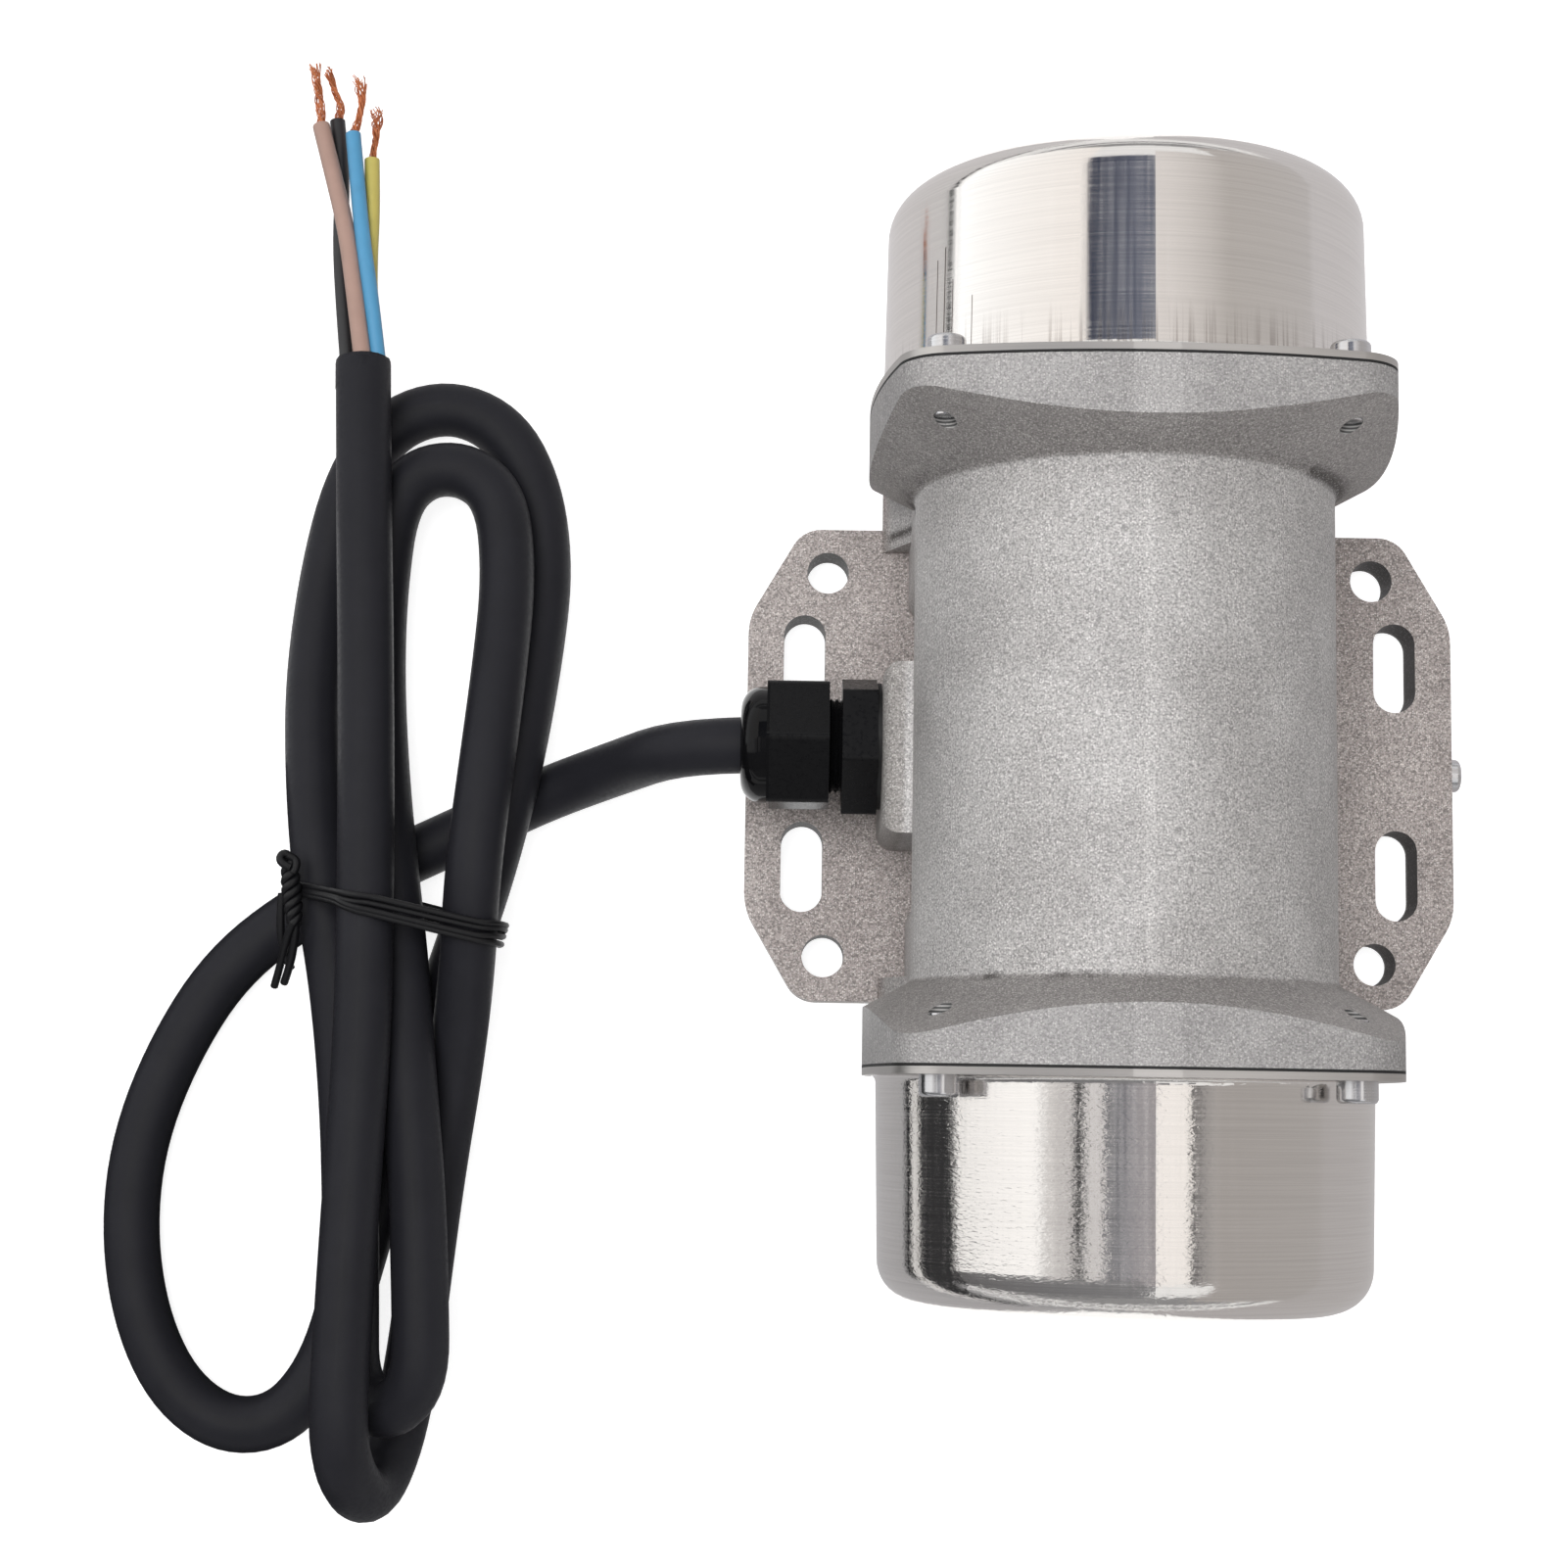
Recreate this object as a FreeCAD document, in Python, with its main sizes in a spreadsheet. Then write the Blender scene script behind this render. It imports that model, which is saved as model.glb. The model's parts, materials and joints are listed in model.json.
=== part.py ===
"""Flange-sided vibration motor: a cast foot-mounted housing with a shaft through it.

Frame: millimetres, +Z up from the foot's bottom face, +Y along the shaft, +X across the feet.
The pieces of each end are drawn once, outward along +Y from the middle of the shaft, and placed
twice: as drawn at the rear (+Y) and turned half round about Z at the front (-Y).
"""
import FreeCAD, Part
import math
import os

import Sketcher

os.makedirs("parts", exist_ok=True)
doc = FreeCAD.newDocument("vibration_motor")
Vector = FreeCAD.Vector
Rotation = FreeCAD.Rotation
Placement = FreeCAD.Placement

# ---------------------------------------------------------------- driving dimensions

DIMENSIONS = {
    # housing casting
    "shaft_height": 38.0, "barrel_radius": 30.2, "bore_radius": 26.5, "face_y": 47.0,
    "register_radius": 32.1, "register_depth": 6.0,
    "flange_half": 37.0, "flange_side_radius": 125.0, "flange_corner": 7.5,
    "cone_start": 35.0, "cone_slope": 1.8, "cone_fillet": 1.2,
    "foot_half_width": 54.8, "foot_half_length": 36.9, "foot_thickness": 8.0,
    "foot_side_half": 22.7, "foot_end_half": 46.5, "foot_corner": 5.0, "foot_side_corner": 9.0,
    "hole_x": 42.5, "hole_y": 30.0, "hole_radius": 3.25,
    "slot_x": 46.0, "slot_y": 16.25, "slot_width": 6.5, "slot_length": 14.0,
    "saddle_half": 29.9, "saddle_start": 22.3, "saddle_end": 42.0, "saddle_corner": 3.0,
    "gusset_half": 34.0, "gusset_lean": 9.4, "gusset_rise": 20.0, "gusset_lip": 2.0,
    "gusset_start": 33.3, "gusset_end": 44.0,
    "waist_half": 25.0, "recess_half": 24.0, "recess_start": 8.0, "recess_end": 30.0,
    "recess_depth": 4.0,
    "boss_face": 34.5, "boss_middle": -1.1, "boss_half": 12.5, "boss_top": 37.0,
    "boss_corner": 2.5, "boss_root": 20.0, "earth_hole_depth": 7.0, "thread_floor": 0.5,
    # end cover, gasket and their screws
    "gasket_thickness": 0.4, "gasket_bore": 33.0, "plate_thickness": 1.0,
    "cup_radius": 35.1, "cup_end_radius": 34.5, "cup_end_y": 80.0, "cup_wall": 1.0,
    "cup_root_fillet": 1.0, "cup_end_fillet": 6.0,
    "cover_screw_x": 27.5, "screw_radius": 1.5, "screw_head": 2.75, "screw_head_height": 3.0,
    "screw_head_round": 0.7, "screw_length": 8.0, "tapped_radius": 1.55, "clear_radius": 1.7,
    "seat_radius": 2.85, "sunk_head_height": 2.8, "earth_head_height": 2.0,
    "earth_head": 2.55, "earth_screw_length": 6.0,
    # stator and rotor
    "stack_half": 18.0, "stator_bore": 14.0, "slot_count": 12.0, "slot_mouth_half": 1.0,
    "winding_start": 18.2, "winding_end": 27.5, "winding_inner": 15.4, "winding_outer": 22.3,
    "winding_round": 2.0, "winding_gap": 0.1, "rotor_radius": 13.6, "core_shaft": 8.0,
    "bar_radius": 11.8, "bar_half": 1.0, "cage_bar_count": 14.0, "cage_end": 21.5,
    "cage_inner": 9.5, "cage_outer": 13.3,
    # shaft line, outward from the middle
    "shoulder_y": 34.0, "bearing_end": 44.0, "journal_radius": 6.0, "journal_end": 50.0,
    "weight_seat": 5.0, "shaft_end": 74.0, "groove_start": 70.9, "groove_end": 72.1,
    "groove_radius": 4.6, "shaft_chamfer": 0.8, "key_width": 3.0, "key_floor": 3.5,
    "key_top": 6.4, "keyway_top": 6.5, "key_start": 50.5, "key_end": 59.5,
    "bearing_outer": 16.0, "shield_radius": 9.25, "inner_ring_radius": 9.2,
    "ring_inside": 13.2, "shield_thickness": 0.6,
    "shield_hub_start": 33.0, "shield_hub_radius": 20.5, "shield_web_start": 38.0,
    "shield_rim_start": 41.0, "shield_bore": 9.3, "shield_rim": 32.0, "spigot_radius": 26.4,
    "shield_screw_radius": 29.0, "spacer_radius": 8.5,
    # eccentric weights
    "inner_weight_start": 50.1, "inner_weight_end": 60.4, "outer_weight_start": 60.8,
    "outer_weight_end": 70.3, "weight_radius": 30.0, "weight_half_chord": 28.2,
    "hub_radius": 11.0, "seat_play": 0.04, "ear_half": 6.5, "ear_floor": 4.2,
    "clamp_height": 8.0, "clamp_slot": 1.6, "clamp_slot_floor": 2.0, "clamp_radius": 2.0,
    "clamp_hole": 2.05, "clamp_head": 3.5, "clamp_head_height": 4.0, "clamp_length": 12.5,
    "circlip_bore": 4.65, "circlip_radius": 7.5, "circlip_start": 71.0, "circlip_end": 72.0,
    "circlip_gap": 3.0,
    # cable gland, outward from the boss's face
    "gland_y": 0.4, "gland_z": 25.0, "gland_thread": 7.2, "gland_hole": 7.25,
    "gland_stub": 8.0, "gland_bore": 5.45, "washer_thickness": 0.6, "washer_radius": 9.4,
    "gland_hex": 10.8, "gland_hex_end": 5.8, "gland_hex_round": 0.8,
    "nut_thread": 7.1, "nut_thread_root": 6.6, "thread_pitch": 0.8, "thread_end": 14.0,
    "nut_start": 7.7, "nut_hex": 10.45, "nut_hex_end": 16.9, "nut_hex_round": 1.2,
    "nut_thread_hole": 7.15, "nut_thread_floor": 14.1, "dome_radius": 8.7, "dome_end": 20.8,
    "dome_mouth": 4.4, "dome_fillet": 3.2, "seal_room": 5.5, "seal_outer": 5.4,
    "seal_start": 8.0, "seal_end": 17.0, "seal_floor": 17.1,
    # cable, its cores and its tie
    "cable_radius": 4.25, "core_radius": 1.2, "wire_radius": 0.7,
    "tie_thickness": 0.8, "tie_width": 3.0, "tie_play": 0.45,
}


class Size:
    """A length together with the spreadsheet formula that gives it."""

    def __init__(self, value, formula):
        self.value = value
        self.formula = formula

    def __add__(self, other):
        other = as_size(other)
        return Size(self.value + other.value, "(%s + %s)" % (self.formula, other.formula))

    def __sub__(self, other):
        other = as_size(other)
        return Size(self.value - other.value, "(%s - %s)" % (self.formula, other.formula))

    def __mul__(self, other):
        other = as_size(other)
        return Size(self.value * other.value, "(%s * %s)" % (self.formula, other.formula))

    def __truediv__(self, other):
        other = as_size(other)
        return Size(self.value / other.value, "(%s / %s)" % (self.formula, other.formula))

    def __neg__(self):
        return self * -1


def as_size(number):
    return number if isinstance(number, Size) else Size(float(number), "%.6g" % number)


class Sheet:
    """The spreadsheet, with each alias as an attribute that holds its Size."""

    def __init__(self, name, dimensions):
        cells = doc.addObject("Spreadsheet::Sheet", name)
        for row, (alias, value) in enumerate(dimensions.items(), start=1):
            cells.set("A%d" % row, alias)
            cells.set("B%d" % row, str(value))
            cells.setAlias("B%d" % row, alias)
            setattr(self, alias, Size(value, "%s.%s" % (name, alias)))
        doc.recompute()


size = Sheet("Sizes", DIMENSIONS)
sub_parts = []
FIRST_SHIELD_SCREW = 30
SHIELD_SCREW_ANGLES = [FIRST_SHIELD_SCREW + step for step in (0, 120, 240)]
# how far a cut runs past the surface that it opens, and a bar into the ring that it joins
OVERRUN = 1
CORNER_SHARE = 0.8
SOCKET_SHARE = 0.95
BODY_HEX_TURN = 17

# ---------------------------------------------------------------- sketches


def new_body(label):
    body = doc.addObject("PartDesign::Body", label)
    body.Label = label
    sub_parts.append(body)
    return body


def add_sketch(body, plane, offset=0):
    """A sketch on one of the body's own origin planes, moved along that plane's normal."""
    sketch = body.newObject("Sketcher::SketchObject", "Sketch")
    support = [f for f in body.Origin.OriginFeatures if f.Role == plane][0]
    offset = as_size(offset)
    sketch.AttachmentSupport = [(support, "")]
    sketch.MapMode = "FlatFace"
    sketch.AttachmentOffset = Placement(Vector(0, 0, offset.value), Rotation())
    sketch.setExpression("AttachmentOffset.Base.z", offset.formula)
    return sketch


def across(body, y):
    """A sketch across the shaft at a distance y: its axes are X and Z."""
    return add_sketch(body, "XZ_Plane", -as_size(y))


def bind(sketch, size_, kind, *where):
    index = sketch.addConstraint(Sketcher.Constraint(kind, *where, size_.value))
    sketch.setExpression("Constraints[%d]" % index, size_.formula)


def locate(sketch, edge, end, x, y):
    """Ties a point of an edge to its distances from the sketch's origin."""
    for kind, axis, distance in (("DistanceX", -2, as_size(x)), ("DistanceY", -1, as_size(y))):
        if distance.value == 0:
            sketch.addConstraint(Sketcher.Constraint("PointOnObject", edge, end, axis))
        elif distance.value > 0:
            bind(sketch, distance, kind, -1, 1, edge, end)
        else:
            bind(sketch, -distance, kind, edge, end, -1, 1)


def add_outline(sketch, corners):
    """A closed outline of straight edges through the given corners."""
    corners = [(as_size(x), as_size(y)) for x, y in corners]
    points = [Vector(x.value, y.value, 0) for x, y in corners]
    first = sketch.GeometryCount
    for start, end in zip(points, points[1:] + points[:1]):
        sketch.addGeometry(Part.LineSegment(start, end))
    for index, (x, y) in enumerate(corners):
        following = first + (index + 1) % len(corners)
        sketch.addConstraint(Sketcher.Constraint("Coincident", first + index, 2, following, 1))
        locate(sketch, first + index, 1, x, y)


def add_circle(sketch, x, y, radius):
    x, y, radius = as_size(x), as_size(y), as_size(radius)
    centre = Vector(x.value, y.value, 0)
    edge = sketch.addGeometry(Part.Circle(centre, Vector(0, 0, 1), radius.value))
    bind(sketch, radius, "Radius", edge)
    locate(sketch, edge, 3, x, y)


def add_arc(sketch, x, y, radius, start, end):
    """An arc between two angles in degrees, its centre and radius tied to the sheet."""
    x, y, radius = as_size(x), as_size(y), as_size(radius)
    circle = Part.Circle(Vector(x.value, y.value, 0), Vector(0, 0, 1), radius.value)
    arc = Part.ArcOfCircle(circle, math.radians(start), math.radians(end))
    edge = sketch.addGeometry(arc)
    bind(sketch, radius, "Radius", edge)
    locate(sketch, edge, 3, x, y)
    return edge


def add_slot(sketch, x, y, width, length):
    """A round-ended slot along the sketch's y axis."""
    radius = width / 2
    reach = (length - width) / 2
    top = add_arc(sketch, x, y + reach, radius, 0, 180)
    low = add_arc(sketch, x, y - reach, radius, 180, 360)
    ends = [(x - radius, y + reach), (x - radius, y - reach), (x + radius, y - reach),
            (x + radius, y + reach)]
    points = [Vector(px.value, py.value, 0) for px, py in ends]
    left = sketch.addGeometry(Part.LineSegment(points[0], points[1]))
    right = sketch.addGeometry(Part.LineSegment(points[2], points[3]))
    for one, other in ((top, left), (left, low), (low, right), (right, top)):
        sketch.addConstraint(Sketcher.Constraint("Tangent", one, 2, other, 1))


def add_flange_outline(sketch, half):
    """Four shallow arcs, each bowed outward to the flange's half width."""
    setback = size.flange_side_radius - half
    diagonal = math.sqrt(2 * size.flange_side_radius.value ** 2 - setback.value ** 2)
    corner = (diagonal - setback.value) / 2
    spread = math.degrees(math.atan2(corner, corner + setback.value))
    sides = []
    for angle in (0, 90, 180, 270):
        turn = math.radians(angle)
        x = setback * -round(math.cos(turn))
        y = setback * -round(math.sin(turn))
        sides.append(add_arc(sketch, x, y, size.flange_side_radius,
                             angle - spread, angle + spread))
    for one, other in zip(sides, sides[1:] + sides[:1]):
        sketch.addConstraint(Sketcher.Constraint("Coincident", one, 2, other, 1))


# ---------------------------------------------------------------- features


def pad(body, sketch, length, reverse=False, midplane=False):
    feature = body.newObject("PartDesign::Pad", "Pad")
    feature.Profile = sketch
    length = as_size(length)
    feature.Length = length.value
    feature.setExpression("Length", length.formula)
    feature.Reversed = reverse
    feature.Midplane = midplane
    sketch.Visibility = False
    doc.recompute()
    return feature


def require_cut(body, before, feature):
    doc.recompute()
    if body.Shape.Volume > before - 0.01:
        raise RuntimeError("%s of %s cuts nothing" % (feature.Name, body.Label))


def pocket(body, sketch, length, reverse=False, midplane=False):
    before = body.Shape.Volume
    feature = body.newObject("PartDesign::Pocket", "Pocket")
    feature.Profile = sketch
    length = as_size(length)
    feature.Length = length.value
    feature.setExpression("Length", length.formula)
    feature.Reversed = reverse
    feature.Midplane = midplane
    require_cut(body, before, feature)
    return feature


def turn(body, kind, outline):
    """Adds or cuts a profile of (y, radius) corners turned about the shaft's axis."""
    sketch = add_sketch(body, "YZ_Plane")
    add_outline(sketch, outline)
    before = body.Shape.Volume if kind == "Groove" else 0
    feature = body.newObject("PartDesign::" + kind, kind)
    feature.Profile = sketch
    feature.ReferenceAxis = (sketch, ["H_Axis"])
    feature.Angle = 360
    doc.recompute()
    if kind == "Groove":
        require_cut(body, before, feature)
    return feature


def repeat(body, features, count):
    """Repeats features evenly about the shaft's axis."""
    pattern = body.newObject("PartDesign::PolarPattern", "Polar")
    pattern.Originals = features
    axis = [f for f in body.Origin.OriginFeatures if f.Role == "Y_Axis"][0]
    pattern.Axis = (axis, [""])
    pattern.Angle = 360
    pattern.Occurrences = int(count)
    body.Tip = pattern
    doc.recompute()
    return pattern


def fillet(body, radius, wanted):
    """Rounds every edge of the body that the test picks out."""
    base = body.Tip
    names = ["Edge%d" % (i + 1) for i, edge in enumerate(base.Shape.Edges) if wanted(edge)]
    if not names:
        raise RuntimeError("no edge of %s to round" % body.Label)
    feature = body.newObject("PartDesign::Fillet", "Fillet")
    feature.Base = (base, names)
    feature.Radius = radius.value
    feature.setExpression("Radius", radius.formula)
    doc.recompute()
    return feature


def runs_along(edge, axis):
    """True for a straight edge parallel to the axis, given as 0, 1 or 2."""
    if edge.Curve.TypeId != "Part::GeomLine":
        return False
    step = edge.Vertexes[-1].Point - edge.Vertexes[0].Point
    return abs(abs(step[axis]) - step.Length) < 1e-6


def near(value, target, tolerance=0.05):
    return abs(value - target) < tolerance


def turned(label, outline):
    body = new_body(label)
    turn(body, "Revolution", outline)
    return body


def ring(label, start, end, inner, outer):
    return turned(label, [(start, inner), (end, inner), (end, outer), (start, outer)])


# ---------------------------------------------------------------- housing


def add_flange(body, side):
    """A bowed square flange whose back is a cone that runs down to the barrel."""
    depth = size.face_y - size.cone_start
    sketch = across(body, size.face_y * side)
    add_flange_outline(sketch, size.flange_half)
    pad(body, sketch, depth, reverse=side < 0)
    corner = size.flange_half.value * CORNER_SHARE
    fillet(body, size.flange_corner, lambda edge: runs_along(edge, 1)
           and edge.CenterOfMass.y * side > 0
           and abs(edge.CenterOfMass.x) > corner and abs(edge.CenterOfMass.z) > corner)
    rim = size.barrel_radius + depth * size.cone_slope
    turn(body, "Groove", [(size.cone_start * side, size.barrel_radius),
                          (size.face_y * side, rim), (size.cone_start * side, rim)])


def add_foot(body):
    """The foot plate with its cut-off corners."""
    sketch = add_sketch(body, "XY_Plane", -size.shaft_height)
    quarter = [(size.foot_half_width, size.foot_side_half),
               (size.foot_end_half, size.foot_half_length)]
    corners = quarter + [(-x, y) for x, y in reversed(quarter)]
    add_outline(sketch, corners + [(-x, -y) for x, y in corners])
    pad(body, sketch, size.foot_thickness)
    for radius, reach in ((size.foot_corner, size.foot_end_half),
                          (size.foot_side_corner, size.foot_half_width)):
        fillet(body, radius, lambda edge: runs_along(edge, 2)
               and near(abs(edge.CenterOfMass.x), reach.value))


def add_saddles(body):
    """The web under the barrel: a narrow waist and a wider block towards each flange."""
    base = size.foot_thickness - size.shaft_height
    start, end, half = size.saddle_start, size.saddle_end, size.saddle_half
    for side in (1, -1):
        sketch = add_sketch(body, "XY_Plane", base)
        add_outline(sketch, [(-half, start * side), (half, start * side),
                             (half, end * side), (-half, end * side)])
        pad(body, sketch, -base)
    fillet(body, size.saddle_corner, lambda edge: runs_along(edge, 2)
           and near(abs(edge.CenterOfMass.y), start.value))
    sketch = add_sketch(body, "XY_Plane", base)
    half = size.waist_half
    add_outline(sketch, [(-half, -start), (half, -start), (half, start), (-half, start)])
    pad(body, sketch, -base - size.barrel_radius / 3)


def add_gussets(body):
    """The leaning blocks that tie each end of the foot to its flange."""
    base = size.foot_thickness - size.shaft_height
    half, low, high = size.gusset_half, base - size.gusset_lip, base + size.gusset_rise
    lean = half - size.gusset_lean
    for side in (1, -1):
        sketch = across(body, size.gusset_end * side)
        add_outline(sketch, [(-half, low), (half, low), (half, base), (lean, high),
                             (-lean, high), (-half, base)])
        pad(body, sketch, size.gusset_end - size.gusset_start, reverse=side < 0)


def add_gland_boss(body):
    """The square boss on the side of the barrel that the cable gland screws into."""
    sketch = add_sketch(body, "YZ_Plane", -size.boss_face)
    low = size.foot_thickness - size.shaft_height
    high = size.boss_top - size.shaft_height
    left, right = size.boss_middle - size.boss_half, size.boss_middle + size.boss_half
    add_outline(sketch, [(left, low), (right, low), (right, high), (left, high)])
    pad(body, sketch, size.boss_face - size.boss_root)
    on_face = -size.boss_face.value
    fillet(body, size.boss_corner, lambda edge: near(edge.CenterOfMass.x, on_face)
           and edge.CenterOfMass.z > low.value + size.boss_corner.value)


def bore_housing(body):
    """The through bore, the end registers, and the threaded holes round them."""
    sketch = across(body, size.face_y)
    add_circle(sketch, 0, 0, size.bore_radius)
    pocket(body, sketch, size.face_y * 2, reverse=True)
    at = size.cover_screw_x
    for side in (1, -1):
        sketch = across(body, size.face_y * side)
        add_circle(sketch, 0, 0, size.register_radius)
        pocket(body, sketch, size.register_depth, reverse=side > 0)
        sketch = across(body, size.face_y * side)
        for x, z in ((at, at), (-at, at), (-at, -at), (at, -at)):
            add_circle(sketch, x, z, size.tapped_radius)
        pocket(body, sketch, size.face_y - size.cone_start, reverse=side > 0)
        floor = size.face_y - size.register_depth
        sketch = across(body, floor * side)
        for angle in SHIELD_SCREW_ANGLES:
            reach = size.shield_screw_radius
            add_circle(sketch, reach * (math.cos(math.radians(angle)) * side),
                       reach * math.sin(math.radians(angle)), size.tapped_radius)
        pocket(body, sketch, floor - size.cone_start - size.thread_floor, reverse=side > 0)
    sketch = add_sketch(body, "YZ_Plane", -size.boss_face)
    add_circle(sketch, size.gland_y, size.gland_z - size.shaft_height, size.gland_hole)
    pocket(body, sketch, size.gland_stub + OVERRUN, reverse=True)


def cut_foot_openings(body):
    """Fixing holes and slots through the foot, and the two recesses under it."""
    under = -size.shaft_height
    sketch = add_sketch(body, "XY_Plane", under)
    for side in (1, -1):
        for end in (1, -1):
            add_circle(sketch, size.hole_x * side, size.hole_y * end, size.hole_radius)
            add_slot(sketch, size.slot_x * side, size.slot_y * end,
                     size.slot_width, size.slot_length)
    pocket(body, sketch, size.foot_thickness + OVERRUN, reverse=True)
    sketch = add_sketch(body, "XY_Plane", under)
    half = size.recess_half
    for end in (1, -1):
        near_y, far_y = size.recess_start * end, size.recess_end * end
        add_outline(sketch, [(-half, near_y), (half, near_y), (half, far_y), (-half, far_y)])
    pocket(body, sketch, size.recess_depth, reverse=True)
    sketch = add_sketch(body, "YZ_Plane", size.foot_half_width)
    add_circle(sketch, 0, size.foot_thickness / 2 - size.shaft_height, size.tapped_radius)
    pocket(body, sketch, size.earth_hole_depth)


def motor_housing():
    body = new_body("motor_housing")
    sketch = across(body, 0)
    add_circle(sketch, 0, 0, size.barrel_radius)
    pad(body, sketch, size.face_y * 2, midplane=True)
    for side in (1, -1):
        add_flange(body, side)
    fillet(body, size.cone_fillet, lambda edge: near(abs(edge.CenterOfMass.y),
                                                     size.cone_start.value)
           and near(edge.BoundBox.XLength, size.barrel_radius.value * 2, 0.5))
    add_foot(body)
    add_saddles(body)
    add_gussets(body)
    add_gland_boss(body)
    bore_housing(body)
    cut_foot_openings(body)
    lift(body)


# ---------------------------------------------------------------- placing


def lift(piece, half_turn=False, spin=0):
    """Stands a piece drawn about the shaft's axis at the shaft's height."""
    heading = Rotation(Vector(0, 0, 1), 180 if half_turn else 0)
    piece.Placement = Placement(Vector(0, 0, size.shaft_height.value),
                                heading * Rotation(Vector(0, 1, 0), spin))
    piece.setExpression("Placement.Base.z", size.shaft_height.formula)


# ---------------------------------------------------------------- stator and rotor


def bar_outline(inner, outer, inner_half, outer_half):
    """A wedge-shaped bar section that stands on the Z axis of a sketch across the shaft."""
    return [(-inner_half, inner), (inner_half, inner), (outer_half, outer), (-outer_half, outer)]


def slot_wedge(gap):
    return bar_outline(size.winding_inner + gap, size.winding_outer - gap,
                       size.winding_inner * math.tan(math.radians(9)) - gap,
                       size.winding_outer * math.tan(math.radians(9)) - gap)


def stator_core():
    """Stacked laminations: a ring with open slots towards the rotor."""
    body = new_body("stator_core")
    sketch = across(body, 0)
    add_circle(sketch, 0, 0, size.bore_radius)
    add_circle(sketch, 0, 0, size.stator_bore)
    pad(body, sketch, size.stack_half * 2, midplane=True)
    cuts = []
    half = size.slot_mouth_half
    mouth = bar_outline(size.stator_bore - OVERRUN, size.winding_inner + OVERRUN, half, half)
    for outline in (slot_wedge(as_size(0)), mouth):
        sketch = across(body, 0)
        add_outline(sketch, outline)
        cuts.append(pocket(body, sketch, size.stack_half * 2, midplane=True))
    repeat(body, cuts, size.slot_count.value)
    lift(body)


def stator_windings():
    """Coil sides in the slots and a round bundle of end turns at each face of the stack."""
    body = new_body("stator_windings")
    inner, outer, bend = size.winding_inner, size.winding_outer, size.winding_round
    start, end = size.winding_start, size.winding_end
    for side in (1, -1):
        turn(body, "Revolution", [(start * side, inner), ((end - bend) * side, inner),
                                  (end * side, inner + bend), (end * side, outer - bend),
                                  ((end - bend) * side, outer), (start * side, outer)])
        if side > 0:
            sketch = across(body, 0)
            add_outline(sketch, slot_wedge(size.winding_gap))
            bar = pad(body, sketch, size.stack_half * 2 + OVERRUN, midplane=True)
            repeat(body, [bar], size.slot_count.value)
    lift(body)


def rotor_core():
    """Rotor laminations with a square slot for each cage bar."""
    body = new_body("rotor_core")
    sketch = across(body, 0)
    add_circle(sketch, 0, 0, size.rotor_radius)
    add_circle(sketch, 0, 0, size.core_shaft)
    pad(body, sketch, size.stack_half * 2, midplane=True)
    sketch = across(body, 0)
    half = size.bar_half
    add_outline(sketch, bar_outline(size.bar_radius - half, size.bar_radius + half, half, half))
    slot = pocket(body, sketch, size.stack_half * 2, midplane=True)
    repeat(body, [slot], size.cage_bar_count.value)
    lift(body)


def rotor_cage():
    """The cast squirrel cage: bars through the core joined by a ring at each end."""
    body = new_body("rotor_cage")
    half = size.bar_half
    start, end = size.stack_half, size.cage_end
    inner, outer = size.cage_inner, size.cage_outer
    for side in (1, -1):
        turn(body, "Revolution", [(start * side, inner), (end * side, inner),
                                  (end * side, outer), (start * side, outer)])
        if side > 0:
            sketch = across(body, 0)
            add_outline(sketch, bar_outline(size.bar_radius - half, size.bar_radius + half,
                                            half, half))
            bar = pad(body, sketch, size.stack_half * 2 + OVERRUN, midplane=True)
            repeat(body, [bar], size.cage_bar_count.value)
    lift(body)


def shaft():
    """A stepped shaft with a keyseat and a circlip groove near each end."""
    steps = [(size.shoulder_y, size.core_shaft), (size.shoulder_y, size.journal_radius),
             (size.journal_end, size.journal_radius), (size.journal_end, size.weight_seat),
             (size.groove_start, size.weight_seat), (size.groove_start, size.groove_radius),
             (size.groove_end, size.groove_radius), (size.groove_end, size.weight_seat),
             (size.shaft_end - size.shaft_chamfer, size.weight_seat),
             (size.shaft_end, size.weight_seat - size.shaft_chamfer),
             (size.shaft_end, 0)]
    body = turned("shaft", steps + [(-y, r) for y, r in reversed(steps)])
    half = size.key_width / 2
    for side in (1, -1):
        sketch = add_sketch(body, "YZ_Plane", size.weight_seat * side)
        start, end = size.key_start * side, size.key_end * side
        add_outline(sketch, [(start, -half), (end, -half), (end, half), (start, half)])
        pocket(body, sketch, size.weight_seat - size.key_floor, reverse=side < 0)
    lift(body)


# ---------------------------------------------------------------- pieces of one end


def bearing(end):
    """A sealed ball bearing: an outer ring with its two shields, and an inner ring."""
    start, stop, web = size.shoulder_y, size.bearing_end, size.shield_thickness
    outer = turned("bearing_outer_ring_" + end, [
        (start, size.bearing_outer), (stop, size.bearing_outer), (stop, size.shield_radius),
        (stop - web, size.shield_radius), (stop - web, size.ring_inside),
        (start + web, size.ring_inside), (start + web, size.shield_radius),
        (start, size.shield_radius)])
    inner = ring("bearing_inner_ring_" + end, start, stop, size.journal_radius,
                 size.inner_ring_radius)
    return [outer, inner]


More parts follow.
